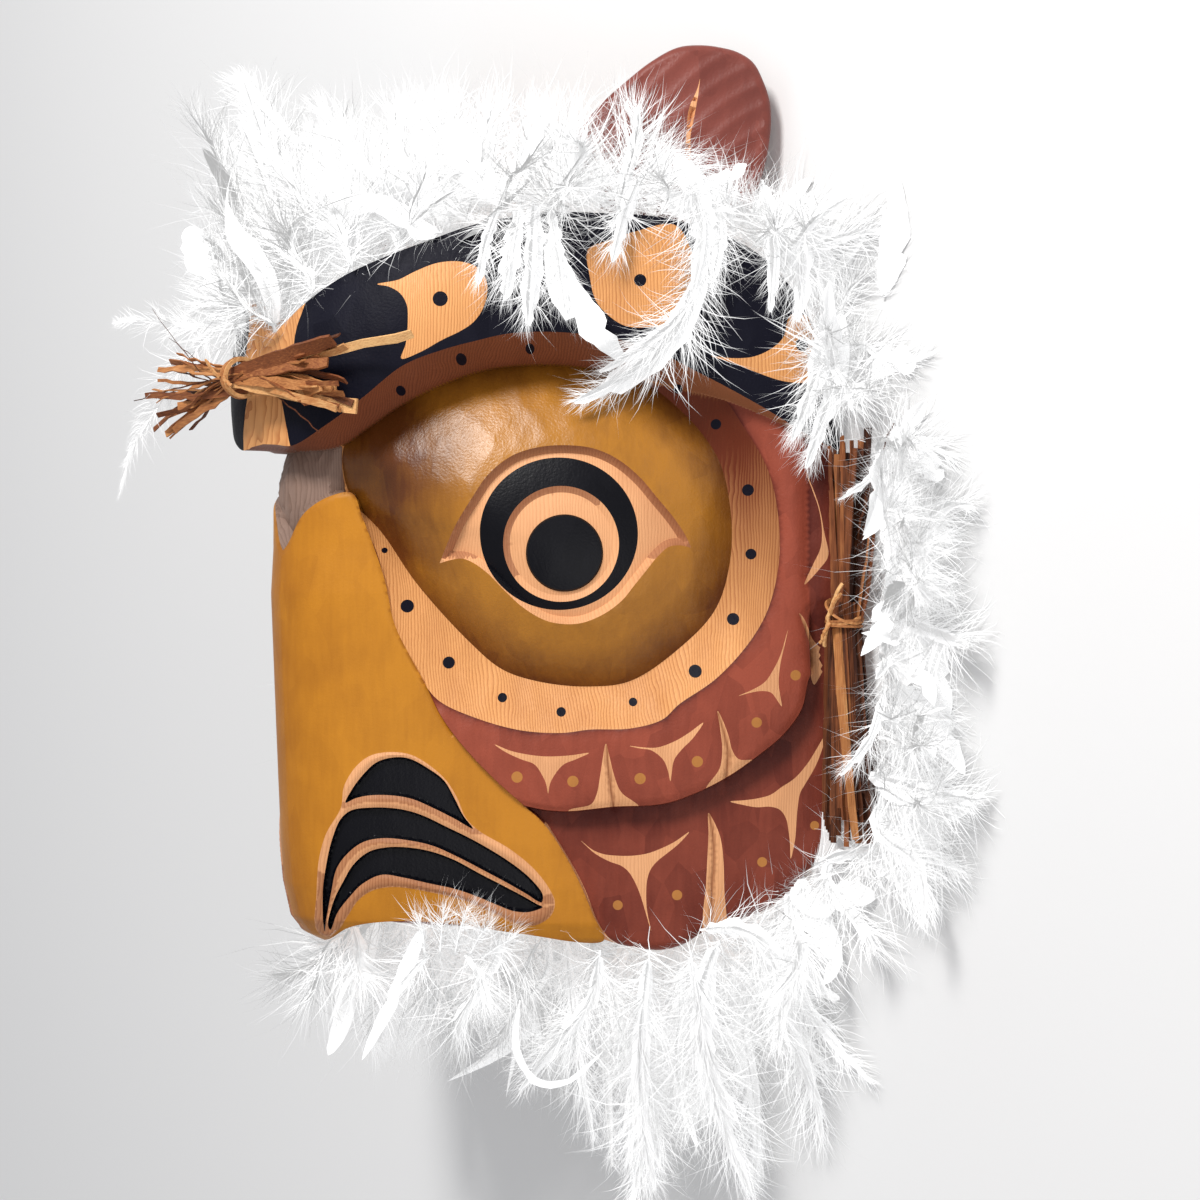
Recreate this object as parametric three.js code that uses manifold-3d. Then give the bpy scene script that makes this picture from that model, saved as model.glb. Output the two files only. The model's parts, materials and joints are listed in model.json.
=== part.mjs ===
// Carved owl mask, lying on its back rim with the face up (+Z) and the crown towards +Y.
// Each cheek is a shallow relief that faces SIDE_TURN to its own side; (u, v, w) are its
// directions: u across towards the rim, v up the face, w out of the relief. All in mm.
import * as THREE from 'three';
import { mergeVertices } from 'three/addons/utils/BufferGeometryUtils.js';
import Module from 'manifold-3d';

const SIDE_TURN = THREE.MathUtils.degToRad(52);
const GAP = 0.4;                                  // clearance between separate pieces
const SHIFT_Y = 13;                               // centres the whole piece on the origin
const DIRECTIONS = 42;                            // rays of the relief round the eye

// Eye, its lids and the round socket form.
const EYE = [-17, 24.5];
const PUPIL = { at: [-15.5, 20.5], across: 16.9, high: 16.9, proud: 1 };
const IRIS = { at: [-17, 24.5], across: 25.3, high: 25.3, sunk: 1.6 };
const RING = { at: [-18, 29], across: 34.6, high: 33.4 };
const LID_EDGE = [[-70.5, 16], [-56.5, 39], [-45.5, 55.5], [-19, 67], [4.5, 64], [22, 48], [39.5, 22.5],
  [26, 19], [17.5, 8.5], [6.5, -5], [-10.5, -10.5], [-26, -5], [-43.5, 6.5], [-54.5, 14.5]];
const LID_BEVEL = 4;
const LID_DEPTH = 4.5;
const ORB_EDGE = [[-112, 47.5], [-97, 29.5], [-82, 7.5], [-58.5, -18.5], [-43.5, -31], [-26.5, -36.5],
  [-4.5, -38.5], [13.5, -36], [34.5, -22], [51, -4.5], [57.5, 16], [58, 39], [51.5, 64.5], [27.5, 91.5],
  [0, 106], [-35.5, 108], [-71, 102], [-98, 88], [-114, 70]];
const ORB_CROWN = 150;
const ORB_RIM = 122;
const ORB_RIM_TILT = 4;
const BAND_EDGE = [[-112, 50], [-105.5, 36], [-98, 18], [-91, -10.5], [-84, -25], [-77, -38], [-70.5, -45],
  [-53.5, -52.5], [-34.5, -57.5], [-16.5, -58.5], [-4.5, -57], [13, -56.5], [27.5, -52.5], [34.5, -46],
  [51, -34.5], [66, -18], [74, -3.5], [78.5, 16], [78.5, 35.5], [74, 57], [62.5, 77.5], [48, 97.5],
  [22, 116], [-17.5, 120], [-66, 116], [-101, 101], [-116, 77]];
const BAND_LEVEL = 130.5;
const BAND_TILT = 6;
const BAND_HIGH_SIDE = THREE.MathUtils.degToRad(-35);

// Cheek: an upper plume layer standing proud of a lower one.
const LIP_EDGE = [[-131, 35], [-118, -18], [-88, -60], [-57, -81], [-33.5, -90.5], [-16.5, -93], [5.5, -91],
  [28, -89.5], [41.5, -85], [55.5, -78], [68.5, -69], [80.5, -59], [88.5, -48], [92.5, -32.5],
  [101.5, -20], [112, 0], [112, 60], [90, 120], [40, 155], [-60, 155], [-125, 110]];
const LIP_STEP = 9;
const LIP_FROM = -24;                             // degrees: the lip fades out where it meets the rim
const LIP_TO = -12;
const HIDDEN_DROP = 25;                           // under the beak, bridge and brow
const CHEEK_SWELL = 1.8;
const CHEEK_EDGE_DROP = 5;
const EDGE_ROUND = 3;
const FACE_EDGE = [[-100, -143], [-30, -147], [1.5, -151.5], [10.5, -154], [27.5, -156], [38, -153],
  [46, -148], [62, -142.5], [76, -136.5], [91.5, -122], [101.5, -105], [105, -79.5], [105, -44],
  [105, 0], [105, 44], [104, 70], [101, 88], [94, 110], [84, 131], [69, 147], [49, 157], [24, 163],
  [0, 164.5], [-26, 164], [-52, 159.5], [-95, 143], [-130, 125], [-172, 100], [-176, 20], [-172, -60],
  [-150, -130]];

// Beak: flat-sided, its ridge a rounded edge on the centre line.
const RIDGE = [[23.5, -143], [3, -144], [-54, -142], [-108, -140], [-128, -138.5], [-143.5, -135.5],
  [-151.5, -130.5], [-155, -125]];               // v, then u of the centre line
const BEAK_EDGE = [[-178, 8], [-160, 12], [-147, 19], [-141, 24], [-134, 36.5], [-129.5, 41], [-120.5, 46],
  [-110, 47.5], [-105.5, 37], [-99.5, 21.5], [-95, 7.5], [-91, -10.5], [-84, -25], [-77, -38],
  [-71, -50.5], [-62, -63], [-48.5, -77.5], [-33.5, -91], [-25.5, -98], [-17, -110], [-9, -125],
  [-3, -139.5], [1.5, -151.5], [-35, -148.5], [-62, -144.5], [-90, -143], [-112, -146.5], [-124.5, -154.5],
  [-140, -158], [-178, -158]];
const BEAK_ROUND = 14;
const BEAK_FLARE = 0.06;

// Open beak and nostril: three sunk fields between narrow ribs.
const FIELD_DEPTH = 3;
const FIELDS = [
  [[-113, -90], [-110.5, -85], [-105.5, -78], [-99, -71.5], [-91, -69.5], [-84.5, -70], [-77, -74],
    [-69, -80], [-64.5, -87.5], [-60.5, -95.5], [-56, -101.5], [-64.5, -97], [-74, -92], [-83.5, -88],
    [-93, -86.5], [-103, -86.5]],
  [[-124, -149], [-124, -131], [-122, -117.5], [-119, -106], [-115.5, -97.5], [-110.5, -93.5], [-101, -92],
    [-89.5, -92.5], [-80, -95], [-68, -100.5], [-54.5, -107], [-40.5, -115.5], [-30.5, -123.5],
    [-27.5, -133.5], [-32.5, -130], [-40.5, -125.5], [-50, -120.5], [-62.5, -114], [-74, -109],
    [-83.5, -107], [-96, -105.5], [-105, -107.5], [-111.5, -112], [-117.5, -119.5], [-120.5, -131]],
  [[-122, -146.5], [-119, -135], [-114.5, -125.5], [-109.5, -117.5], [-102.5, -112], [-94.5, -110],
    [-83.5, -110], [-74, -111.5], [-64.5, -115.5], [-53, -121.5], [-42, -127], [-33.5, -132],
    [-26, -134], [-31.5, -138.5], [-38.5, -138], [-45, -135.5], [-55, -131.5], [-64.5, -128.5],
    [-76, -125.5], [-87.5, -123], [-97, -122], [-106, -126.5], [-111.5, -132], [-117, -139.5]],
];

// Bridge between the eyes, a rounded form on the centre line.
const BRIDGE = { half: 22, top: 178, fall: 0.016, low: 8, high: 84, middle: 46, sag: 0.0105, back: 100 };

// Brow: a thick visor, its plan curve given as u, w.
const BROW_PLAN = [[-176, 88], [-150.5, 117.6], [-137, 132.4], [-120, 144.8], [-98, 151.5], [-75, 153],
  [-40, 152.2], [-2, 151.5], [57, 146], [99.5, 135.5], [115, 130]];
const BROW_TOP = [[-176, 104], [-156.5, 114], [-145.5, 119.5], [-130.5, 130.5], [-113, 141], [-95.5, 148.5],
  [-74, 156.5], [-52, 164], [-26, 168.5], [0, 168.5], [26, 167], [52, 160.5], [72, 150], [87, 133.5],
  [97, 112], [103, 88], [106, 74]];
const BROW_FACE = [[-176, 76], [-156, 70.5], [-144, 69], [-135.5, 68], [-119, 76.5], [-102.5, 88],
  [-85, 101.5], [-68.5, 108], [-54, 112], [-37.5, 115.5], [-12, 115.5], [17.5, 110.5], [44.5, 98],
  [69.5, 85], [93, 71.5], [108, 64]];
const BROW_UNDER = [[-176, 75], [-157.5, 70], [-145.5, 68.5], [-131.5, 67], [-116, 68.5], [-103, 76.5],
  [-88, 86.5], [-69, 96], [-49, 102.5], [-26.5, 104.5], [-10, 103.5], [17.5, 99], [45, 91], [70, 79],
  [94, 66], [108, 58]];
const BROW_STEPS = 20;
const BROW_UNDER_DROP = 20;
const BROW_TOP_DROP = 6;
const REACH = 330;                                // far enough to run through the whole mask

// Hollow back: half-width and half-height at each height above the rim.
const HOLLOW = [[-3, 143, 134], [0, 143, 134], [16, 133, 126], [36, 116, 112], [60, 95, 94], [82, 70, 72],
  [98, 45, 47], [106, 22, 24]];
const HOLLOW_MIDDLE = 8;
const HOLLOW_POWER = 2.4;
const HOLLOW_SIDES = 28;

// Ears: flat leaf-shaped boards standing on the crown.
const EAR_EDGE = [[2, 160], [-6.5, 186], [-11, 207], [0, 222], [12, 233], [23.5, 242], [35, 248],
  [45.5, 249], [54, 248], [61.5, 246], [68.5, 241.5], [73, 233.5], [76.5, 221.5], [75.5, 202.5],
  [70, 182], [62, 150]];
const EAR_BACK = 102;
const EAR_THICK = 15;
const EAR_SLIT = [[45, 231], [46.6, 231], [48, 214], [41, 196], [36, 196]];
const EAR_SLIT_DEPTH = 3;

// Bundles of bark strips, each tied round its middle.
const FRONT_BUNDLE = { at: [6, 98, 206], ahead: 82, behind: 92, waist: 6.5, fan: 21, strips: 7 };
const SIDE_BUNDLE = { at: [187, -8, 13.2], ahead: 84, behind: 100, waist: 5.5, fan: 9, strips: 6 };
const TIE_THICK = 1.5;

// Feather tufts: a fan of flat blades from one root. Crest: across, up and length of each tuft, and for
// the rear ones the front tuft ahead of them. Chin: both ends of the root, its level and the length.
const CREST = [[-106, 145.7, 86], [-70, 159.2, 68], [-30, 168.6, 56], [8, 168.9, 52], [44, 165.1, 58]];
const CREST_BACK = 13;
const CREST_STAGGER = 9;
const CREST_REAR = [[-66, 160.6, 58, 1], [-4, 169.3, 52, 3]];
const CREST_REAR_BACK = 60;
const RIM_STEP = 44;
const RIM_SPREAD = 0.1;
const CREST_SPREAD = 0.42;
const CROWN_CORNER = 150;
const CROWN_CLEAR = 9.5;
const CHIN_LIFT = 0.2;
const CENTRE_TUFT = { at: [0, 133, 177], length: 96, spread: 0.3 };
const BROW_END_TUFT = { at: [138.2, 150.4, 10], toward: [0.62, 0.75, 0.22], length: 78, spread: 0.3 };
const CHIN_CLEAR = 4;
const CHIN_ROOTS = [[-126, -153.1, -94, -149.9, 108, 54], [-80, -145.3, -48, -147, 116, 86],
  [-36, -149.6, -4, -153.4, 106, 64], [10, -156.8, 42, -155.9, 118, 106]];
const CHIN_SPREAD = 0.2;
const RIM_LENGTHS = [82, 88, 86, 76, 96, 62, 112, 127, 118.6];
const BLADE_THICK = 3;
const ROOT_WIDE = 32;

const wasm = await Module();
wasm.setup();

const across = new THREE.Vector3(Math.cos(SIDE_TURN), 0, -Math.sin(SIDE_TURN));
const outward = new THREE.Vector3(Math.sin(SIDE_TURN), 0, Math.cos(SIDE_TURN));

function place(u, v, w) {
  return new THREE.Vector3(0, v, 0).addScaledVector(across, u).addScaledVector(outward, w);
}

function toSolid(geometry) {
  const bare = geometry.clone();
  bare.deleteAttribute('normal');
  bare.deleteAttribute('uv');
  const merged = mergeVertices(bare, 1e-4);
  const index = merged.index.array;
  const kept = [];
  for (let i = 0; i < index.length; i += 3) {
    const [a, b, c] = [index[i], index[i + 1], index[i + 2]];
    if (a !== b && b !== c && a !== c) kept.push(a, b, c);
  }
  return new wasm.Manifold(new wasm.Mesh({
    numProp: 3,
    vertProperties: new Float32Array(merged.attributes.position.array),
    triVerts: new Uint32Array(kept),
  }));
}

function toGeometry(solid) {
  const mesh = solid.getMesh();
  const geometry = new THREE.BufferGeometry();
  const points = new Float32Array(mesh.numVert * 3);
  for (let i = 0; i < mesh.numVert; i += 1) {
    for (let k = 0; k < 3; k += 1) points[3 * i + k] = mesh.vertProperties[mesh.numProp * i + k];
  }
  geometry.setAttribute('position', new THREE.BufferAttribute(points, 3));
  geometry.setIndex(new THREE.BufferAttribute(new Uint32Array(mesh.triVerts), 1));
  return geometry;
}

function fromTriangles(triangles) {
  const points = triangles.flatMap((p) => [p.x, p.y, p.z]);
  const geometry = new THREE.BufferGeometry();
  geometry.setAttribute('position', new THREE.Float32BufferAttribute(points, 3));
  return geometry;
}

// A block whose front is the grid of points and whose back is the same grid moved by drop.
function block(rows, drop) {
  const back = rows.map((row) => row.map((p) => p.clone().add(drop)));
  const out = [];
  const quad = (a, b, c, d) => out.push(a, b, c, a, c, d);
  const last = rows.length - 1;
  const end = rows[0].length - 1;
  for (let i = 0; i < last; i += 1) {
    for (let j = 0; j < end; j += 1) {
      quad(rows[i][j], rows[i][j + 1], rows[i + 1][j + 1], rows[i + 1][j]);
      quad(back[i][j], back[i + 1][j], back[i + 1][j + 1], back[i][j + 1]);
    }
    quad(rows[i][0], rows[i + 1][0], back[i + 1][0], back[i][0]);
    quad(rows[i][end], back[i][end], back[i + 1][end], rows[i + 1][end]);
  }
  for (let j = 0; j < end; j += 1) {
    quad(rows[0][j], back[0][j], back[0][j + 1], rows[0][j + 1]);
    quad(rows[last][j], rows[last][j + 1], back[last][j + 1], back[last][j]);
  }
  return fromTriangles(out);
}

// A body of closed rings, each end closed by a fan to its own middle.
function ringed(rings, first, last) {
  const out = [];
  const n = rings[0].length;
  for (let j = 0; j < n; j += 1) {
    const k = (j + 1) % n;
    out.push(first, rings[0][j], rings[0][k]);
    for (let i = 0; i + 1 < rings.length; i += 1) {
      out.push(rings[i][j], rings[i + 1][j], rings[i + 1][k]);
      out.push(rings[i][j], rings[i + 1][k], rings[i][k]);
    }
    out.push(last, rings[rings.length - 1][k], rings[rings.length - 1][j]);
  }
  return fromTriangles(out);
}

function smoothLoop(points, count) {
  const curve = new THREE.CatmullRomCurve3(points.map(([u, v]) => new THREE.Vector3(u, v, 0)), true);
  return curve.getPoints(count).slice(0, count).map((p) => new THREE.Vector2(p.x, p.y));
}

function alongPath(points, count) {
  const curve = new THREE.SplineCurve(points.map(([u, v]) => new THREE.Vector2(u, v)));
  return curve.getSpacedPoints(count);
}

function lookUp(table, x) {
  let i = 0;
  const rising = table[1][0] > table[0][0];
  while (i < table.length - 2 && (rising ? x > table[i + 1][0] : x < table[i + 1][0])) i += 1;
  const t = (x - table[i][0]) / (table[i + 1][0] - table[i][0]);
  return THREE.MathUtils.lerp(table[i][1], table[i + 1][1], THREE.MathUtils.clamp(t, 0, 1));
}

function disc({ at, across: a, high: b }) {
  return Array.from({ length: 72 }, (_, i) => {
    const angle = (i / 72) * Math.PI * 2;
    return new THREE.Vector2(at[0] + a * Math.cos(angle), at[1] + b * Math.sin(angle));
  });
}

// Distance from the eye to a closed line, looking out at an angle.
function reachTo(line, angle) {
  const dir = new THREE.Vector2(Math.cos(angle), Math.sin(angle));
  let best = 0;
  line.forEach((p, i) => {
    const q = line[(i + 1) % line.length];
    const a = new THREE.Vector2(p.x - EYE[0], p.y - EYE[1]);
    const b = new THREE.Vector2(q.x - EYE[0], q.y - EYE[1]);
    const edge = b.clone().sub(a);
    const cross = dir.x * edge.y - dir.y * edge.x;
    if (Math.abs(cross) < 1e-9) return;
    const distance = (a.x * edge.y - a.y * edge.x) / cross;
    const t = (a.x * dir.y - a.y * dir.x) / cross;
    if (t >= -1e-9 && t <= 1 + 1e-9 && distance > best) best = distance;
  });
  return best;
}

const lines = {
  pupil: disc(PUPIL),
  iris: disc(IRIS),
  ring: disc(RING),
  lid: smoothLoop(LID_EDGE, 160),
  orb: smoothLoop(ORB_EDGE, 160),
  band: smoothLoop(BAND_EDGE, 200),
  lip: smoothLoop(LIP_EDGE, 200),
  face: smoothLoop(FACE_EDGE, 240),
};

// One ray of the cheek relief: pairs of distance from the eye and level.
function ray(angle) {
  const to = (name) => reachTo(lines[name], angle);
  const orbRim = ORB_RIM + ORB_RIM_TILT * Math.cos(angle);
  const orb = to('orb');
  const dome = (r) => ORB_CROWN - (ORB_CROWN - orbRim) * (r / orb) ** 2;
  const lid = to('lid');
  const floor = dome(lid) - LID_DEPTH;
  const ball = (r) => ORB_CROWN - LID_DEPTH - (ORB_CROWN - LID_DEPTH - floor) * (r / lid) ** 2;
  const pupil = to('pupil');
  const iris = to('iris');
  const ring = to('ring');
  const field = Math.max(lid - LID_BEVEL, ring + 0.3);
  const band = Math.max(to('band'), orb + 1.5);
  const turn = THREE.MathUtils.radToDeg(Math.atan2(Math.sin(angle), Math.cos(angle)));
  const smooth = THREE.MathUtils.smoothstep;
  const bridgeSide = smooth(turn, 110, 125) * (1 - smooth(turn, 166, 174));
  const hidden = HIDDEN_DROP * Math.max(smooth(turn, 115, 125), smooth(-turn, 125, 135));
  const carved = BAND_LEVEL + BAND_TILT * Math.cos(angle - BAND_HIGH_SIDE);
  const bandLevel = THREE.MathUtils.lerp(carved, orbRim - 1, bridgeSide);
  const face = to('face');
  const lip = Math.min(Math.max(to('lip'), band + 4), face - 14);
  const step = LIP_STEP * (1 - smooth(turn, LIP_FROM, LIP_TO));
  const low = bandLevel - step - hidden;
  const edge = low - (step > 0 ? CHEEK_EDGE_DROP * 0.5 : 0.5);
  return [
    [pupil - 0.7, ball(pupil) - IRIS.sunk + PUPIL.proud],
    [pupil, ball(pupil) - IRIS.sunk],
    [iris - 0.8, ball(iris) - IRIS.sunk],
    [iris, ball(iris)],
    [ring, ball(ring)],
    [field, ball(field)],
    [lid + 0.4, dome(lid)],
    [THREE.MathUtils.lerp(lid, orb, 0.45), dome(THREE.MathUtils.lerp(lid, orb, 0.45))],
    [THREE.MathUtils.lerp(lid, orb, 0.8), dome(THREE.MathUtils.lerp(lid, orb, 0.8))],
    [orb, orbRim],
    [band, bandLevel],
    [THREE.MathUtils.lerp(band, lip, 0.5), bandLevel + CHEEK_SWELL - hidden],
    [lip, bandLevel - hidden],
    [lip + 1.2, low],
    [THREE.MathUtils.lerp(lip + 1.2, face, 0.5), low + CHEEK_SWELL * 0.6],
    [face - EDGE_ROUND, edge],
    [face, edge - EDGE_ROUND],
  ];
}

function cheekBody() {
  const rays = Array.from({ length: DIRECTIONS }, (_, i) => (i / DIRECTIONS) * Math.PI * 2 + 0.02);
  const profiles = rays.map(ray);
  const at = (angle, r, w) => place(EYE[0] + r * Math.cos(angle), EYE[1] + r * Math.sin(angle), w);
  const rings = profiles[0].map((_, k) => rays.map((angle, j) => at(angle, ...profiles[j][k])));
  const rim = rays.map((angle, j) => at(angle, profiles[j][profiles[j].length - 1][0], -REACH / 2));
  const middle = place(...EYE, ORB_CROWN - LID_DEPTH - IRIS.sunk + PUPIL.proud);
  return toSolid(ringed([...rings, rim], middle, place(...EYE, -REACH / 2)));
}

function beakLevel(u, v) {
  const centre = lookUp(RIDGE, v);
  const side = Math.max(u - centre, -12);
  return -centre / Math.tan(SIDE_TURN) + BEAK_ROUND * (1 - Math.exp(-side / BEAK_ROUND)) + BEAK_FLARE * side;
}

function beakPatch(lower) {
  const columns = [-190, -152, -145, -139, -131, -120, -105, -75, 12];
  const heights = [-170, -155, -150, -143.5, -128, -54, 23.5, 60];
  const rows = heights.map((v) => columns.map((u) => place(u, v, beakLevel(u, v) - lower)));
  return toSolid(block(rows, outward.clone().multiplyScalar(-REACH)));
}

// A prism through the mask with the given outline in u, v.
function prism(points, count, from, deep) {
  const shape = new THREE.Shape(smoothLoop(points, count));
  const geometry = new THREE.ExtrudeGeometry(shape, { depth: deep, bevelEnabled: false, steps: 1 });
  const turn = new THREE.Matrix4().makeBasis(across, new THREE.Vector3(0, 1, 0), outward);
  geometry.applyMatrix4(turn);
  geometry.translate(outward.x * from, 0, outward.z * from);
  return toSolid(geometry);
}

function browBody() {
  const under = alongPath(BROW_UNDER, BROW_STEPS);
  const face = alongPath(BROW_FACE, BROW_STEPS);
  const top = alongPath(BROW_TOP, BROW_STEPS);
  const level = (p) => lookUp(BROW_PLAN, p.x);
  const rows = [
    under.map((p) => place(p.x, p.y, level(p) - BROW_UNDER_DROP)),
    face.map((p) => place(p.x, p.y, level(p))),
    face.map((p, i) => place((p.x + top[i].x) / 2, (p.y + top[i].y) / 2,
      lookUp(BROW_PLAN, (p.x + top[i].x) / 2) + 0.5)),
    top.map((p) => place(p.x, p.y, level(p) - BROW_TOP_DROP)),
  ];
  return toSolid(block(rows, outward.clone().multiplyScalar(-REACH)));
}

function bridgeBody() {
  const sides = [-30, -22, -14, -6, 2, 10, 16, BRIDGE.half];
  const rows = [];
  for (let i = 0; i <= 6; i += 1) {
    const y = THREE.MathUtils.lerp(BRIDGE.low, BRIDGE.high, i / 6);
    const top = BRIDGE.top - BRIDGE.sag * (y - BRIDGE.middle) ** 2;
    rows.push(sides.map((x) => new THREE.Vector3(x, y, top - BRIDGE.fall * x * x)));
  }
  return toSolid(block(rows, new THREE.Vector3(0, 0, BRIDGE.back - BRIDGE.top)));
}

function box(x0, x1, y0, y1, z0, z1) {
  const geometry = new THREE.BoxGeometry(x1 - x0, y1 - y0, z1 - z0);
  geometry.translate((x0 + x1) / 2, (y0 + y1) / 2, (z0 + z1) / 2);
  return toSolid(geometry);
}

// Both halves joined on the centre plane, where the cut face of the one half is left out.
function mirrored(half) {
  const geometry = toGeometry(half).toNonIndexed();
  const p = geometry.attributes.position;
  const out = [];
  for (let i = 0; i < p.count; i += 3) {
    const tri = [0, 1, 2].map((k) => new THREE.Vector3(p.getX(i + k), p.getY(i + k), p.getZ(i + k)));
    tri.forEach((q) => { if (Math.abs(q.x) < 1e-3) q.x = 0; });
    if (tri.every((q) => q.x === 0)) continue;
    out.push(...tri);
    out.push(...tri.map((q) => new THREE.Vector3(-q.x, q.y, q.z)).reverse());
  }
  return toSolid(fromTriangles(out));
}

function hollow() {
  const rings = HOLLOW.map(([z, a, b]) => Array.from({ length: HOLLOW_SIDES }, (_, i) => {
    const angle = (i / HOLLOW_SIDES) * Math.PI * 2;
    const c = Math.cos(angle);
    const s = Math.sin(angle);
    const fit = (Math.abs(c) ** HOLLOW_POWER + Math.abs(s) ** HOLLOW_POWER) ** (-1 / HOLLOW_POWER);
    return new THREE.Vector3(a * fit * c, HOLLOW_MIDDLE + b * fit * s, z);
  })).reverse();
  const top = new THREE.Vector3(0, HOLLOW_MIDDLE, HOLLOW[HOLLOW.length - 1][0] + 2);
  const bottom = new THREE.Vector3(0, HOLLOW_MIDDLE, HOLLOW[0][0]);
  return toSolid(ringed(rings, top, bottom));
}

function faceShell(brow) {
  const outline = prism(BEAK_EDGE, 72, -REACH / 2, REACH * 1.2);
  const beak = beakPatch(0).intersect(outline);
  let near = cheekBody().subtract(outline.subtract(beakPatch(1))).add(bridgeBody());
  near = near.subtract(outline.subtract(beakPatch(1))).add(beak).add(brow);
  const floor = beakPatch(FIELD_DEPTH);
  for (const field of FIELDS) {
    near = near.subtract(prism(field, 26, 60, 160).subtract(floor));
  }
  near = near.intersect(box(0, 400, -400, 400, 0, 400));
  const whole = mirrored(near).subtract(hollow()).decompose();
  return whole.sort((a, b) => b.volume() - a.volume())[0];
}

function ear(brow) {
  const board = prism(EAR_EDGE, 36, EAR_BACK, EAR_THICK);
  const slit = prism(EAR_SLIT, 16, EAR_BACK + EAR_THICK - EAR_SLIT_DEPTH, 20);
  return board.subtract(brow.translate([0, GAP, 0])).subtract(slit);
}

// A flat tapering strip between two points, wide across its face and thin through it.
function strip(from, to, wide, thick, face) {
  const along = to.clone().sub(from).normalize();
  const side = new THREE.Vector3().crossVectors(face, along).normalize();
  const up = new THREE.Vector3().crossVectors(along, side).normalize();
  const section = (p, w, t) => [[-w, -t], [w, -t], [w, t], [-w, t]].map(([a, b]) => p.clone()
    .addScaledVector(side, a / 2).addScaledVector(up, b / 2));
  const rings = [section(to, wide, thick * 0.8), section(from, wide * 0.6, thick)];
  return toSolid(ringed(rings, to, from));
}

function bundle(spec, axis, flat) {
  const side = new THREE.Vector3().crossVectors(flat, axis).normalize();
  const middle = new THREE.Vector3(...spec.at);
  const parts = [];
  for (let i = 0; i < spec.strips; i += 1) {
    const angle = (i * 2.4) + 0.4;
    const lean = spec.fan * (0.45 + 0.55 * ((i * 0.618) % 1));
    const offset = (radius, turn) => side.clone().multiplyScalar(radius * Math.cos(turn))
      .addScaledVector(flat, radius * 0.32 * Math.sin(turn));
    const far = middle.clone().addScaledVector(axis, spec.ahead * (0.78 + 0.22 * ((i * 0.382) % 1)))
      .add(offset(lean, angle));
    const near = middle.clone().addScaledVector(axis, -spec.behind * (0.78 + 0.22 * ((i * 0.71) % 1)))
      .add(offset(lean, angle + Math.PI));
    parts.push(strip(near, far, spec.waist * 1.3, spec.waist * 0.5, flat));
  }
  const core = new THREE.CylinderGeometry(spec.waist, spec.waist, 16, 8);
  core.applyQuaternion(new THREE.Quaternion().setFromUnitVectors(new THREE.Vector3(0, 1, 0), axis));
  core.translate(...spec.at);
  return parts.reduce((sum, part) => sum.add(part), toSolid(core));
}

function tie(spec, axis) {
  const ring = new THREE.TorusGeometry(spec.waist + GAP + TIE_THICK * 1.15, TIE_THICK, 5, 11);
  ring.applyQuaternion(new THREE.Quaternion().setFromUnitVectors(new THREE.Vector3(0, 0, 1), axis));
  ring.translate(...spec.at);
  return toSolid(ring);
}

// A tuft: a flat fan of pointed blades on one broad root.
function tuft(root, direction, face, lengths, spread) {
  const side = new THREE.Vector3().crossVectors(direction, face).normalize();
  const outline = [[-ROOT_WIDE / 2, 0]];
  lengths.forEach((length, i) => {
    const at = (step, share) => {
      const place01 = (i + step) / lengths.length - 0.5;
      const angle = spread * place01;
      return [ROOT_WIDE * place01 + length * share * Math.sin(angle), length * share * Math.cos(angle)];
    };
    outline.push(at(0.04, 0.62), at(0.5, 1), at(0.96, 0.62));
  });
  outline.push([ROOT_WIDE / 2, 0]);
  const shape = new THREE.Shape(outline.map(([x, y]) => new THREE.Vector2(x, y)));
  const geometry = new THREE.ExtrudeGeometry(shape, { depth: BLADE_THICK, bevelEnabled: false, steps: 1 });
  geometry.translate(0, 0, -BLADE_THICK / 2);
  geometry.applyMatrix4(new THREE.Matrix4().makeBasis(side, direction, face));
  geometry.translate(root.x, root.y, root.z);
  return toSolid(geometry);
}

// The three blades of a tuft end at different lengths, up to the tuft's own.
function bladeLengths(length, tuftNumber) {
  return [0, 1, 2].map((k) => length * (0.82 + 0.18 * ((tuftNumber * 0.618 + k * 0.382) % 1)));
}

// Outline of the back rim on the ground, seen from the front, right half from the crown down.
function rimLine() {
  const half = lines.face.filter((p) => p.x >= 0).map((p) => new THREE.Vector2(p.x / Math.cos(SIDE_TURN), p.y));
  half.sort((a, b) => Math.atan2(a.x, a.y) - Math.atan2(b.x, b.y));
  return half;
}

const group = new THREE.Group();
const colours = {
  shell: [0xc07d2c, 0.45],
  ear: [0x8a4232, 0.55],
  bark: [0x86522f, 0.85],
  tie: [0xc79558, 0.8],
  feather: [0xf4f4f2, 0.9],
};

function addPiece(name, solid, look) {
  const [colour, roughness] = colours[look];
  const material = new THREE.MeshStandardMaterial({ color: colour, roughness, metalness: 0 });
  const mesh = new THREE.Mesh(toGeometry(solid), material);
  mesh.name = name;
  group.add(mesh);
}

const brow = browBody();
addPiece('mask_shell', faceShell(brow), 'shell');

const flip = (solid) => solid.mirror([1, 0, 0]);
const earBoard = ear(brow);
addPiece('ear_right', earBoard, 'ear');
addPiece('ear_left', flip(earBoard), 'ear');

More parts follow.
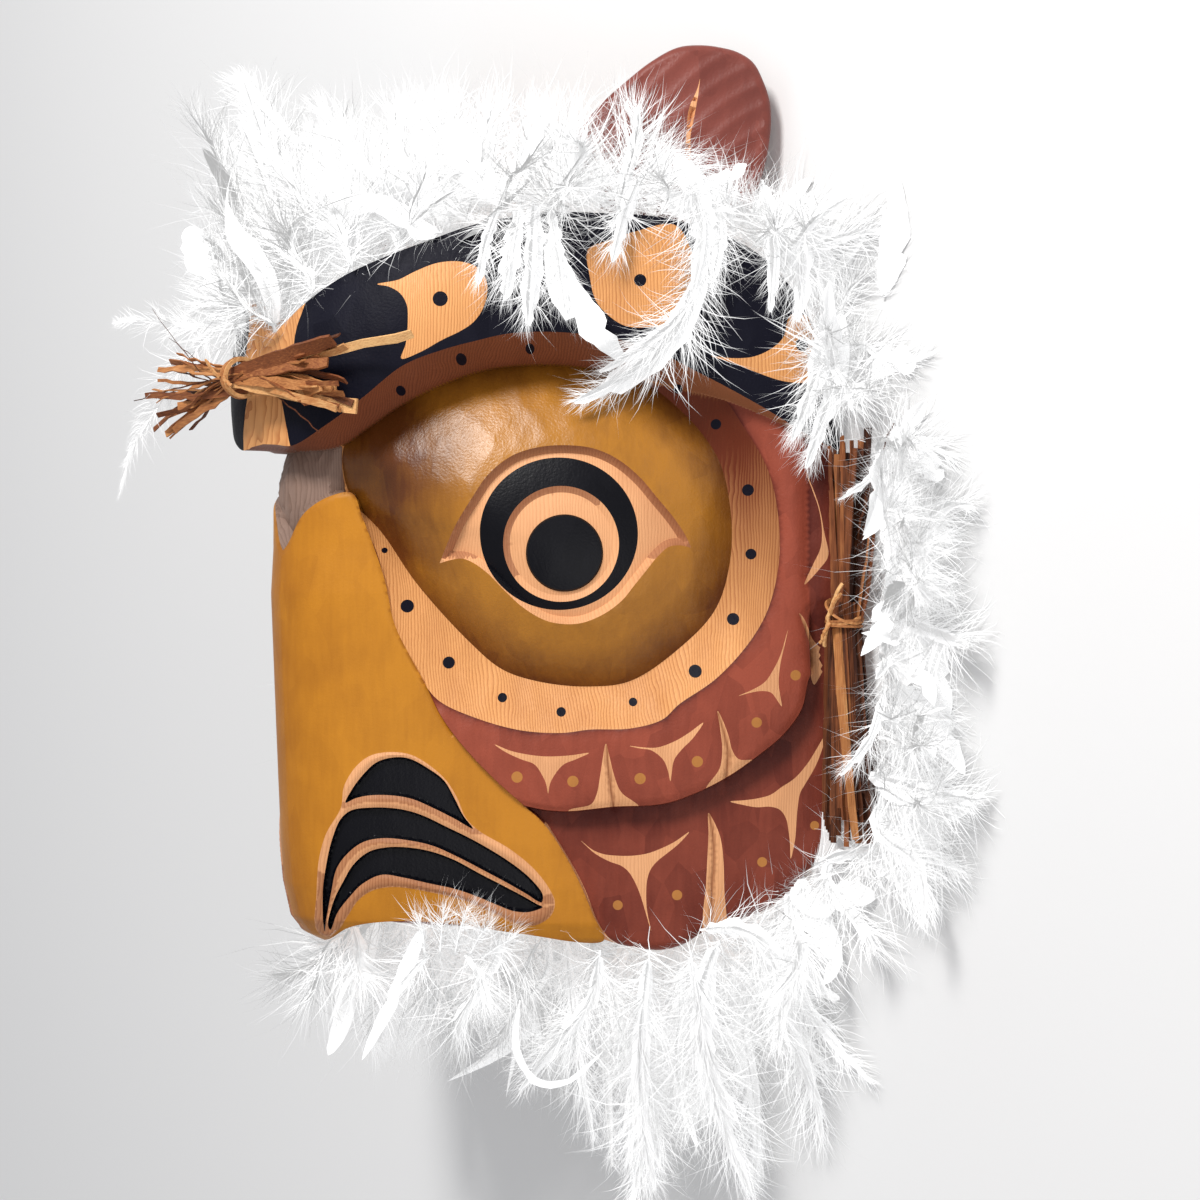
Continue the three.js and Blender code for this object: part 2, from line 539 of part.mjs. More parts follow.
const xAxis = new THREE.Vector3(1, 0, 0);
const yAxis = new THREE.Vector3(0, 1, 0);
const zAxis = new THREE.Vector3(0, 0, 1);
addPiece('bark_bundle_front', bundle(FRONT_BUNDLE, xAxis, zAxis), 'bark');
addPiece('bark_tie_front', tie(FRONT_BUNDLE, xAxis), 'tie');
const sideBundle = bundle(SIDE_BUNDLE, yAxis, zAxis);
const sideTie = tie(SIDE_BUNDLE, yAxis);
addPiece('bark_bundle_right', sideBundle, 'bark');
addPiece('bark_tie_right', sideTie, 'tie');
addPiece('bark_bundle_left', flip(sideBundle), 'bark');
addPiece('bark_tie_left', flip(sideTie), 'tie');

// Crest tufts stand along the brow's upper edge, each fan in its own plane behind the next.
function crestTuft(number, u, v, length, back, near) {
  const before = CREST[Math.max(near - 1, 0)];
  const after = CREST[Math.min(near + 1, CREST.length - 1)];
  const slope = new THREE.Vector2(before[1] - after[1], after[0] - before[0]).normalize();
  const direction = across.clone().multiplyScalar(slope.x * 0.9).addScaledVector(yAxis, slope.y).normalize();
  const level = lookUp(BROW_PLAN, u) - back;
  const solid = tuft(place(u, v, level), direction, outward, bladeLengths(length, number - 1), CREST_SPREAD);
  addPiece(`feather_tuft_crest_right_${number}`, solid, 'feather');
  addPiece(`feather_tuft_crest_left_${number}`, flip(solid), 'feather');
}

CREST.forEach(([u, v, length], i) => {
  crestTuft(i + 1, u, v, length, CREST_BACK + CREST_STAGGER * (i % 2), i);
});
CREST_REAR.forEach(([u, v, length, near], i) => {
  crestTuft(CREST.length + i + 1, u, v, length, CREST_REAR_BACK, near);
});

// Chin tufts hang from the front of the lower wall, from the beak's tip to the cheek's corner.
CHIN_ROOTS.forEach(([u0, v0, u1, v1, level, length], i) => {
  const direction = across.clone().multiplyScalar(v1 - v0).addScaledVector(yAxis, u0 - u1).normalize();
  const root = place((u0 + u1) / 2, (v0 + v1) / 2, level);
  const solid = tuft(root, direction, outward, bladeLengths(length, i), CHIN_SPREAD);
  addPiece(`feather_tuft_chin_right_${i + 1}`, solid, 'feather');
  addPiece(`feather_tuft_chin_left_${i + 1}`, flip(solid), 'feather');
});

const centreLengths = bladeLengths(CENTRE_TUFT.length, 0);
const centre = tuft(new THREE.Vector3(...CENTRE_TUFT.at), yAxis, zAxis, centreLengths, CENTRE_TUFT.spread);
addPiece('feather_tuft_crest_centre', centre, 'feather');

const browEndWay = new THREE.Vector3(...BROW_END_TUFT.toward).normalize();
const browEndFace = zAxis.clone().addScaledVector(browEndWay, -browEndWay.z).normalize();
const browEnd = tuft(new THREE.Vector3(...BROW_END_TUFT.at), browEndWay, browEndFace,
  bladeLengths(BROW_END_TUFT.length, 1), BROW_END_TUFT.spread);
addPiece('feather_tuft_brow_end_right', browEnd, 'feather');
addPiece('feather_tuft_brow_end_left', flip(browEnd), 'feather');

// Rim tufts lie round the sides and the chin, their roots flat on the ground under the bundles.
const rim = rimLine();
let walked = 0;
let count = 0;
for (let i = 1; i < rim.length; i += 1) {
  walked += rim[i].distanceTo(rim[i - 1]);
  if (rim[i].x < CROWN_CORNER && rim[i].y > 0) continue;
  if (walked < RIM_STEP && count > 0) continue;
  const along = rim[Math.min(i + 1, rim.length - 1)].clone().sub(rim[i - 1]).normalize();
  const direction = new THREE.Vector3(-along.y, along.x, 0);
  const chin = THREE.MathUtils.smoothstep(-rim[i].y, 60, 140);
  direction.y -= 0.3 * chin;
  direction.normalize();
  if (rim[i].x < 12) continue;
  walked = 0;
  count += 1;
  const clear = rim[i].y > 60 ? CROWN_CLEAR : CHIN_CLEAR;
  const root = new THREE.Vector3(rim[i].x, rim[i].y, 2.2).addScaledVector(direction, clear);
  direction.z = CHIN_LIFT * THREE.MathUtils.smoothstep(Math.abs(rim[i].y), 100, 140);
  direction.normalize();
  const face = new THREE.Vector3(-direction.x, -direction.y, 0).multiplyScalar(direction.z);
  face.z = Math.hypot(direction.x, direction.y);
  face.normalize();
  const solid = tuft(root, direction, face, bladeLengths(RIM_LENGTHS[count - 1], count), RIM_SPREAD);
  addPiece(`feather_tuft_rim_right_${count}`, solid, 'feather');
  addPiece(`feather_tuft_rim_left_${count}`, flip(solid), 'feather');
}

group.children.forEach((mesh) => mesh.geometry.translate(0, SHIFT_Y, 0));

export default group;
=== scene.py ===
"""Carved and painted cedar owl mask with bark bundles and white feathers, lying on its back rim."""
import json
import math

import bmesh
import bpy
import numpy as np
from mathutils import Matrix, Vector, geometry, kdtree

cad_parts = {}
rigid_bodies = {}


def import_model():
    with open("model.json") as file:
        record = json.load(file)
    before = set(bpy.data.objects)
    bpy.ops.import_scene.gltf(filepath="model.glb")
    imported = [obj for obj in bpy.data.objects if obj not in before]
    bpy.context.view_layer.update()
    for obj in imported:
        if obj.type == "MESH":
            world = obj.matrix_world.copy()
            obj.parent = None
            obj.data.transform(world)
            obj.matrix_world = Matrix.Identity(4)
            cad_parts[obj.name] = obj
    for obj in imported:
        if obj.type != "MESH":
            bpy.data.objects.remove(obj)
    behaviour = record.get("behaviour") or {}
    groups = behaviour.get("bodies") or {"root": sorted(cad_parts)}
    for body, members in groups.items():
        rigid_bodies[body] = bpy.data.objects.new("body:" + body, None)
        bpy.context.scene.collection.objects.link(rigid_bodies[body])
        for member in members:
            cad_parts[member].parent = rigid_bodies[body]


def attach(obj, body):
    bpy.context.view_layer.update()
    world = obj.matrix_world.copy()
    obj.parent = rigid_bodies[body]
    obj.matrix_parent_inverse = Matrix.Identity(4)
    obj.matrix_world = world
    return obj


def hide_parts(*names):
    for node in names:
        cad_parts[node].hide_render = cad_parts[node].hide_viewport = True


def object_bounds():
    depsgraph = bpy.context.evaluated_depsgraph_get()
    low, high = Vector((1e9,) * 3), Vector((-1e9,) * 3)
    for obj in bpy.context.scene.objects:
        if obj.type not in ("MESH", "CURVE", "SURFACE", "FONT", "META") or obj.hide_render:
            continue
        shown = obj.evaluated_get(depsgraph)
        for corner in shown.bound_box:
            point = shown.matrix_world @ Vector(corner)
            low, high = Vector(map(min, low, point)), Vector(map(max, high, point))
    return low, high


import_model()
cad_low, cad_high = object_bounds()
scene = bpy.context.scene

# Ground, lamps and camera. The mask lies face up on a plain pale floor, and the camera looks straight at
# the near cheek, which is carved on a face turned 52 degrees to the side, with the crown at the top.
# Lengths are in millimetres: ACROSS, UP and OUT are the directions of that face.
SIDE_TURN = math.radians(52)
ACROSS = np.array([math.cos(SIDE_TURN), 0.0, -math.sin(SIDE_TURN)])
UP = np.array([0.0, 1.0, 0.0])
OUT = np.array([math.sin(SIDE_TURN), 0.0, math.cos(SIDE_TURN)])
X_AXIS, Y_AXIS, Z_AXIS = np.eye(3)
VIEW_LEVEL = 125.0
VIEW_DISTANCE = 1050.0
VIEW_HALF = 266.4
CROWN_SHIFT = 13.0
FLOOR_HALF = 4.0
METRES = 0.001

floor_mesh = bpy.data.meshes.new("floor")
floor_corners = [(x * FLOOR_HALF, y * FLOOR_HALF, 0) for x, y in ((-1, -1), (1, -1), (1, 1), (-1, 1))]
floor_mesh.from_pydata(floor_corners, [], [(0, 1, 2, 3)])
floor = bpy.data.objects.new("floor", floor_mesh)
scene.collection.objects.link(floor)
floor_paint = bpy.data.materials.new("pale_floor")
floor_paint.use_nodes = True
floor_shader = floor_paint.node_tree.nodes["Principled BSDF"]
floor_shader.inputs["Base Color"].default_value = (0.76, 0.76, 0.765, 1)
floor_shader.inputs["Roughness"].default_value = 0.9
floor_mesh.materials.append(floor_paint)

world = bpy.data.worlds.new("soft_room")
world.use_nodes = True
world.node_tree.nodes["Background"].inputs["Color"].default_value = (0.97, 0.98, 1.0, 1)
world.node_tree.nodes["Background"].inputs["Strength"].default_value = 0.55
scene.world = world


def soft_lamp(name, toward, distance, size, watts, colour):
    """A round lamp that shines on the mask from a distance in the direction given."""
    data = bpy.data.lights.new(name, "AREA")
    data.shape = "DISK"
    data.size = size
    data.energy = watts
    data.color = colour
    lamp = bpy.data.objects.new(name, data)
    scene.collection.objects.link(lamp)
    direction = Vector(toward).normalized()
    lamp.location = direction * distance
    lamp.rotation_euler = direction.to_track_quat("Z", "Y").to_euler()


soft_lamp("ceiling_lamp", (0.3, 0.65, 0.7), distance=1.7, size=0.42, watts=24, colour=(1.0, 0.985, 0.96))
soft_lamp("side_fill", (0.9, -0.25, 0.55), distance=2.2, size=1.6, watts=8, colour=(1.0, 0.98, 0.96))

camera_data = bpy.data.cameras.new("camera")
camera_data.angle = 2 * math.atan(VIEW_HALF / VIEW_DISTANCE)
camera = bpy.data.objects.new("camera", camera_data)
scene.collection.objects.link(camera)
seat = (OUT * (VIEW_LEVEL + VIEW_DISTANCE) + UP * CROWN_SHIFT) * METRES
camera.matrix_world = Matrix(np.vstack([np.stack([ACROSS, UP, OUT, seat], 1), [0, 0, 0, 1]]).tolist())
scene.camera = camera
scene.view_settings.view_transform = "Standard"

# Mask. One block of red cedar, carved with knife and gouge to a heavy brow, round sockets, layered
# cheeks and a deep beak, then painted ochre, brick red and blue-black with bare wood left between.
# Lines are drawn on the near side's own face, across (u) and up (v); a level is the height out of it.
EYE = np.array([-17.0, 24.5])
PUPIL_EDGE = [(-15.5, 20.5), 16.9, 16.9]
IRIS_EDGE = [(-17.0, 24.5), 25.3, 25.3]
RING_EDGE = [(-18.0, 29.0), 34.6, 33.4]
LID_UPPER = [(-70.8, 16.2), (-67.5, 23.9), (-62.8, 33.3), (-56.1, 44), (-48.7, 54.8), (-38.7, 62.8),
             (-28, 66.5), (-15.9, 67.6), (-2.5, 66.1), (8.2, 61.2), (17.6, 53.4), (25, 44.7),
             (32.3, 36), (37.7, 28), (40.1, 22.9)]
LID_LOWER = [(40.1, 22.9), (35.7, 23.9), (30.3, 23.3), (25, 18.8), (20.3, 13), (14.9, 6.3),
             (9.6, -0.2), (1.5, -6.2), (-7.9, -10), (-15.9, -10.5), (-23.9, -8.9), (-33.3, -3.5),
             (-41.4, 3.8), (-49.4, 11.9), (-56.1, 16.6), (-60.8, 18.2), (-66.1, 17.5), (-70.8, 16.2)]
LID_BEVEL = 3.3
ORB_EDGE = [(-112, 47.5), (-97, 29.5), (-82, 7.5), (-58.5, -18.5), (-43.5, -31), (-26.5, -36.5),
            (-4.5, -38.5), (13.5, -36), (34.5, -22), (51, -4.5), (57.5, 16), (58, 39), (51.5, 64.5),
            (27.5, 91.5), (0, 106), (-35.5, 108), (-71, 102), (-98, 88), (-114, 70)]
BAND_EDGE = [(-112, 50), (-105.5, 36), (-98, 18), (-91, -10.5), (-84, -25), (-77, -38), (-70.5, -45),
             (-53.5, -52.5), (-34.5, -57.5), (-16.5, -58.5), (-4.5, -57), (13, -56.5), (27.5, -52.5),
             (34.5, -46), (51, -34.5), (66, -18), (74, -3.5), (78.5, 16), (78.5, 35.5), (74, 57),
             (62.5, 77.5), (48, 97.5), (22, 116), (-17.5, 120), (-66, 116), (-101, 101), (-116, 77)]
LIP_EDGE = [(-131, 35), (-118, -18), (-88, -60), (-57, -81), (-33.5, -90.5), (-16.5, -93), (5.5, -91),
            (28, -89.5), (41.5, -85), (55.5, -78), (68.5, -69), (80.5, -59), (88.5, -48),
            (92.5, -32.5), (101.5, -20), (112, 0), (112, 60), (90, 120), (40, 155), (-60, 155),
            (-125, 110)]
FACE_EDGE = [(-100, -143), (-30, -147), (1.5, -151.5), (10.5, -154), (27.5, -156), (38, -153),
             (46, -148), (62, -142.5), (76, -136.5), (91.5, -122), (101.5, -105), (105, -79.5),
             (105, -44), (105, 0), (105, 44), (104, 70), (101, 88), (94, 110), (84, 131), (69, 147),
             (49, 157), (24, 163), (0, 164.5), (-26, 164), (-52, 159.5), (-95, 143), (-130, 125),
             (-172, 100), (-176, 20), (-172, -60), (-150, -130)]
BEAK_EDGE = [(-178, 8), (-160, 12), (-147, 19), (-141, 24), (-134, 36.5), (-129.5, 41), (-120.5, 46),
             (-110, 47.5), (-105.5, 37), (-99.5, 21.5), (-95, 7.5), (-91, -10.5), (-84, -25),
             (-77, -38), (-71, -50.5), (-62, -63), (-48.5, -77.5), (-33.5, -91), (-25.5, -98),
             (-17, -110), (-9, -125), (-3, -139.5), (1.5, -151.5), (-35, -148.5), (-62, -144.5),
             (-90, -143), (-112, -146.5), (-124.5, -154.5), (-140, -158), (-178, -158)]
RIDGE = [(23.5, -143), (3, -144), (-54, -142), (-108, -140), (-128, -138.5), (-143.5, -135.5),
         (-151.5, -130.5), (-155, -125)]
MOUTH_EDGE = [(-127.8, -149.5), (-126.9, -130.9), (-125.5, -115.6), (-122, -104), (-115.3, -92.5),
              (-113.8, -82.9), (-108.5, -74.1), (-101.8, -69), (-93.2, -67.4), (-84.5, -68.3),
              (-76.7, -72.3), (-68.1, -79.8), (-63.2, -87.6), (-59.4, -96.3), (-53.7, -102),
              (-40.4, -109.8), (-29.7, -118.4), (-22.8, -127.1), (-20, -133.7), (-21.5, -139.5),
              (-26.6, -143.5), (-32.6, -144.8), (-38.4, -143.5), (-47, -139.1), (-59.4, -133.7),
              (-73.9, -130), (-91.2, -127.5), (-100.9, -129.1), (-107.6, -133.7), (-112.4, -140.6),
              (-117.5, -148.2), (-123.3, -152.1)]
MOUTH_FIELDS = [
    [(-113.2, -90.1), (-110.6, -84.8), (-105.7, -78.1), (-99, -71.9), (-91.2, -69.7), (-84.6, -70.2),
     (-76.8, -74.1), (-69, -79.9), (-64.4, -87.7), (-60.4, -95.5), (-56.2, -101.2), (-64.4, -96.8),
     (-73.9, -92.1), (-83.5, -88.1), (-93.2, -86.6), (-102.8, -86.8), (-108.6, -88.1)],
    [(-124, -149.4), (-124, -131), (-122.1, -117.7), (-119.2, -106.1), (-115.4, -97.5),
     (-110.6, -93.5), (-101, -92.1), (-89.2, -92.6), (-79.7, -95), (-68.2, -100.3), (-54.6, -107),
     (-40.2, -115.7), (-30.6, -123.4), (-25.3, -130.5), (-25.8, -133.9), (-27.3, -133.5),
     (-32.6, -130.1), (-40.2, -125.7), (-50, -120.5), (-62.4, -114.1), (-73.9, -109),
     (-83.5, -106.8), (-96.1, -105.7), (-104.8, -107.4), (-111.4, -111.9), (-117.2, -119.4),
     (-120.1, -131), (-123, -144.5)],
    [(-122.1, -146.5), (-119.2, -135), (-114.3, -125.2), (-109.7, -117.7), (-102.8, -111.9),
     (-94.1, -109.7), (-83.5, -109.9), (-73.9, -111.7), (-64.4, -115.2), (-52.8, -121.4),
     (-42.2, -126.8), (-33.5, -131.4), (-27.5, -134.9), (-25.3, -135.9), (-31.5, -138.3),
     (-38.4, -137.9), (-45.1, -135.4), (-54.6, -131.4), (-64.4, -128.1), (-75.9, -125.7),
     (-87.5, -123.2), (-97, -122.1), (-105.7, -126.3), (-111.4, -132.1), (-117.2, -139.6),
     (-121.2, -148.3)],
]
BROW_PLAN = [(-176, 88), (-150.5, 117.6), (-137, 132.4), (-120, 144.8), (-98, 151.5), (-75, 153),
             (-40, 152.2), (-2, 151.5), (57, 146), (99.5, 135.5), (115, 130)]
BROW_TOP = [(-176, 104), (-156.5, 114), (-145.5, 119.5), (-130.5, 130.5), (-113, 141), (-95.5, 148.5),
            (-74, 156.5), (-52, 164), (-26, 168.5), (0, 168.5), (26, 167), (52, 160.5), (72, 150),
            (87, 133.5), (97, 112), (103, 88), (106, 74)]
BROW_FACE = [(-176, 76), (-156, 70.5), (-144, 69), (-135.5, 68), (-119, 76.5), (-102.5, 88),
             (-85, 101.5), (-68.5, 108), (-54, 112), (-37.5, 115.5), (-12, 115.5), (17.5, 110.5),
             (44.5, 98), (69.5, 85), (93, 71.5), (108, 64)]
BROW_UNDER = [(-176, 75), (-157.5, 70), (-145.5, 68.5), (-131.5, 67), (-116, 68.5), (-103, 76.5),
              (-88, 86.5), (-69, 96), (-49, 102.5), (-26.5, 104.5), (-10, 103.5), (17.5, 99),
              (45, 91), (70, 79), (94, 66), (108, 58)]
# Levels of the carved steps: the eyeball's crown and rim, the sunk iris, and the layers of the cheek.
EYE_CROWN = 150.0
EYE_RIM = 122.0
BALL_DROP = 4.5
IRIS_DEEP = 1.8
IRIS_BEVEL = 2.8
CHEEK_LEVEL = 130.5
LAYER_STEP = 9.0
BRIDGE_LEVEL = 178.0
BRIDGE_HALF = 22.0
BEHIND = -1e3


def smooth_line(points, closed=True, step=1.6):
    """A rounded line through the points, as a flexible spline would lie, sampled every step."""
    p = np.array(points, float)
    n = len(p)
    spans = n if closed else n - 1
    out = []
    for i in range(spans):
        if closed:
            a, b, c, d = p[i - 1], p[i], p[(i + 1) % n], p[(i + 2) % n]
        else:
            b, c = p[i], p[i + 1]
            a = p[i - 1] if i else 2 * b - c
            d = p[i + 2] if i + 2 < n else 2 * c - b
        t = np.cumsum([0.0] + [max(np.linalg.norm(y - x), 1e-6) ** 0.5
                               for x, y in ((a, b), (b, c), (c, d))])
        count = max(2, int(round(np.linalg.norm(c - b) / step)))
        s = (t[1] + (t[2] - t[1]) * np.arange(count) / count)[:, None]
        ab = (t[1] - s) / (t[1] - t[0]) * a + (s - t[0]) / (t[1] - t[0]) * b
        bc = (t[2] - s) / (t[2] - t[1]) * b + (s - t[1]) / (t[2] - t[1]) * c
        cd = (t[3] - s) / (t[3] - t[2]) * c + (s - t[2]) / (t[3] - t[2]) * d
        abc = (t[2] - s) / (t[2] - t[0]) * ab + (s - t[0]) / (t[2] - t[0]) * bc
        bcd = (t[3] - s) / (t[3] - t[1]) * bc + (s - t[1]) / (t[3] - t[1]) * cd
        out.append((t[2] - s) / (t[2] - t[1]) * abc + (s - t[1]) / (t[2] - t[1]) * bcd)
    if not closed:
        out.append(p[-1:])
    return np.concatenate(out)


def oval(at, half_wide, half_high, count=72):
    """A closed oval line."""
    turn = np.arange(count) / count * 2 * math.pi
    return np.stack([at[0] + half_wide * np.cos(turn), at[1] + half_high * np.sin(turn)], 1)


def inside(line, u, v):
    """Which points lie within a closed line."""
    hit = np.zeros(np.shape(u), bool)
    x1, y1 = line[-1]
    for x2, y2 in line:
        if y1 != y2:
            crosses = (y1 > v) != (y2 > v)
            hit ^= crosses & (u < (x2 - x1) * (v - y1) / (y2 - y1) + x1)
        x1, y1 = x2, y2
    return hit


def gap_to(line, u, v, closed=True):
    """Distance from each point to a line."""
    best = np.full(np.shape(u), 1e9)
    ends = np.roll(line, -1, 0) if closed else line[1:]
    for (x1, y1), (x2, y2) in zip(line, ends):
        dx, dy = x2 - x1, y2 - y1
        t = np.clip(((u - x1) * dx + (v - y1) * dy) / max(dx * dx + dy * dy, 1e-12), 0, 1)
        best = np.minimum(best, (u - x1 - t * dx) ** 2 + (v - y1 - t * dy) ** 2)
    return np.sqrt(best)


def ease(x, low, high):
    """A soft step from 0 to 1."""
    t = np.clip((x - low) / (high - low), 0, 1)
    return t * t * (3 - 2 * t)


LID_LINE = np.concatenate([smooth_line(LID_UPPER, False, 1.2)[:-1],
                           smooth_line(LID_LOWER, False, 1.2)[:-1]])
LINES = {
    "pupil": oval(*PUPIL_EDGE), "iris": oval(*IRIS_EDGE, 96), "ring": oval(*RING_EDGE, 120),
    "lid": LID_LINE, "orb": smooth_line(ORB_EDGE),
    "band": smooth_line(BAND_EDGE), "lip": smooth_line(LIP_EDGE), "face": smooth_line(FACE_EDGE),
}
TURNS = np.arange(-720, 721) / 720 * math.pi


def reach_table(line):
    """How far each line lies from the eye, by direction."""
    dx, dy = np.cos(TURNS), np.sin(TURNS)
    best = np.zeros(len(TURNS))
    a = line - EYE
    b = np.roll(line, -1, 0) - EYE
    for (ax, ay), (bx, by) in zip(a, b):
        ex, ey = bx - ax, by - ay
        cross = dx * ey - dy * ex
        cross = np.where(np.abs(cross) < 1e-9, 1e-9, cross)
        far = (ax * ey - ay * ex) / cross
        t = (ax * dy - ay * dx) / cross
        best = np.where((t > -1e-9) & (t < 1 + 1e-9) & (far > best), far, best)
    return best


REACH = {name: reach_table(line) for name, line in LINES.items()}


def rings_at(turn):
    """Distances from the eye of every carved step of the cheek, in the given directions."""
    to = {name: np.interp(turn, TURNS, table) for name, table in REACH.items()}
    to["band"] = np.maximum(to["band"], to["orb"] + 1.5)
    to["lip"] = np.minimum(np.maximum(to["lip"], to["band"] + 4), to["face"] - 14)
    to["foot"] = to["lip"] + 1.2
    return to


def about_eye(u, v):
    """Distance and direction from the eye, and how far out each carved step lies that way."""
    turn = np.arctan2(v - EYE[1], u - EYE[0])
    return np.hypot(u - EYE[0], v - EYE[1]), turn, rings_at(turn)


def cheek_level(u, v):
    """The eye in its socket, the bare band round it and the two red layers of the cheek."""
    r, turn, to = about_eye(u, v)
    orb_rim = EYE_RIM + 4 * np.cos(turn)
    dome = EYE_CROWN - (EYE_CROWN - orb_rim) * (r / to["orb"]) ** 2
    at_lid = EYE_CROWN - (EYE_CROWN - orb_rim) * (to["lid"] / to["orb"]) ** 2
    ball = EYE_CROWN - BALL_DROP - (EYE_CROWN - at_lid) * np.minimum(r / to["lid"], 1) ** 2
    degrees = np.degrees(turn)
    bridge_side = ease(degrees, 110, 125) * (1 - ease(degrees, 166, 174))
    hidden = 25 * np.maximum(ease(degrees, 115, 125), ease(-degrees, 125, 135))
    carved = CHEEK_LEVEL + 6 * np.cos(turn + math.radians(35))
    band_level = carved + (orb_rim - 1 - carved) * bridge_side
    step = LAYER_STEP * (1 - ease(degrees, -24, -12))
    low = band_level - step - hidden

    def between(a, b):
        """How far along each point lies from one carved step to the next."""
        return np.clip((r - to[a]) / np.maximum(to[b] - to[a], 1e-6), 0, 1)

    iris_floor = ball - IRIS_DEEP
    pupil_top = iris_floor + np.minimum((to["pupil"] - r) / 0.7, 1)
    level = np.where(r < to["pupil"], pupil_top, iris_floor)
    iris_side = ball - IRIS_DEEP * np.clip((to["iris"] - r) / IRIS_BEVEL, 0, 1)
    level = np.where(r > to["iris"] - IRIS_BEVEL, iris_side, level)
    level = np.where(r > to["iris"], ball, level)
    in_lid = inside(LID_LINE, u, v)
    bevel = np.clip(gap_to(LID_LINE, u, v) / LID_BEVEL, 0, 1)
    level = np.where(in_lid, dome + (level - dome) * bevel, dome)
    t = between("orb", "band")
    level = np.where(r > to["orb"], orb_rim + (band_level - orb_rim) * t - 0.9 * t * (1 - t), level)
    t = between("band", "lip")
    level = np.where(r > to["band"], band_level - hidden * np.minimum(2 * t, 1) + 7.2 * t * (1 - t), level)
    edge_round = 0.9 * ease(r, to["lip"] - 2.5, to["lip"]) * (step > 1)
    level = np.where(r > to["band"], level - edge_round, level)
    level = np.where(r > to["lip"], band_level - hidden - 0.9 * (step > 1)
                     - (step - 0.9 * (step > 1)) * between("lip", "foot"), level)
    t = between("foot", "face")
    edge = np.where(step > 0, 2.5, 0.5)
    rounding = 3 * np.clip((r - to["face"] + 3) / 3, 0, 1) ** 2
    return np.where(r > to["foot"], low + 4.3 * t * (1 - t) - edge * t - rounding, level)


def beak_level(u, v):
    """The near side of the beak, which rolls over to the ridge down its middle."""
    ridge = np.array(RIDGE[::-1])
    centre = np.interp(v, ridge[:, 0], ridge[:, 1])
    side = np.maximum(u - centre, -12)
    return -centre / math.tan(SIDE_TURN) + 14 * (1 - np.exp(-side / 14)) + 0.06 * side


def bridge_level(u, v):
    """The rounded bridge between the eyes, seen from the cheek's own direction."""
    s, c = math.sin(SIDE_TURN), math.cos(SIDE_TURN)
    top = BRIDGE_LEVEL - 0.0105 * (v - 46) ** 2
    fall = 0.016
    a, b, d = fall * s * s, 2 * fall * u * c * s + c, fall * u * u * c * c - u * s - top
    level = (-b + np.sqrt(np.maximum(b * b - 4 * a * d, 0))) / (2 * a)
    level = np.minimum(level, (BRIDGE_HALF - u * c) / s)
    return np.where((v > 8) & (v < 84) & (level * s + u * c > -30), level, BEHIND)


def height_of(points, u):
    """How high an open line runs at each place across."""
    p = np.array(points, float)
    return np.interp(u, p[:, 0], p[:, 1])


BROW_LINES = {name: smooth_line(points, closed=False)
              for name, points in (("top", BROW_TOP), ("face", BROW_FACE), ("under", BROW_UNDER))}
BROW_PLAN_LINE = smooth_line(BROW_PLAN, closed=False)


def brow_level(u, v):
    """The brow: a rounded front over an under face that slopes back to the socket."""
    plan = height_of(BROW_PLAN_LINE, u)
    top, face, under = (height_of(BROW_LINES[k], u) for k in ("top", "face", "under"))
    t = np.clip((v - face) / (top - face), 0, 1)
    s = np.clip((v - under) / np.maximum(face - under, 0.5), 0, 1)
    level = np.where(v < face, plan - 20 * (1 - s), plan + 8 * t - 14 * t * t)
    return np.where((v >= under) & (v <= top + 0.1), level, BEHIND)


BEAK_LINE = smooth_line(BEAK_EDGE)
MOUTH_LINE = smooth_line(MOUTH_EDGE, step=1.0)
FIELD_LINES = [smooth_line(f, step=1.0) for f in MOUTH_FIELDS]


def other_level(u, v):
    """Everything but the brow."""
    in_beak = inside(BEAK_LINE, u, v) | (gap_to(BEAK_LINE, u, v) < 0.12)
    behind = np.maximum(cheek_level(u, v), bridge_level(u, v))
    return np.where(in_beak, beak_level(u, v), behind)


# The line where the brow's under face leaves the socket or the bridge, found by stepping upwards.
brow_foot = []
for u in np.arange(-176, 108.5, 1.5):
    v = np.arange(height_of(BROW_LINES["under"], u), height_of(BROW_LINES["face"], u) + 2, 0.1)
    proud = brow_level(np.full_like(v, u), v) >= other_level(np.full_like(v, u), v)
    brow_foot.append((u, v[np.argmax(proud)] if proud.any() else v[-1]))
BROW_FOOT = np.array(brow_foot)
bridge_foot = []
for v in np.arange(36, 80, 1.5):
    u = np.arange(-150, -70, 0.1)
    proud = bridge_level(u, np.full_like(u, v)) > cheek_level(u, np.full_like(u, v))
    if proud.any():
        bridge_foot.append((u[len(u) - 1 - np.argmax(proud[::-1])], v))
BRIDGE_FOOT = np.array(bridge_foot)

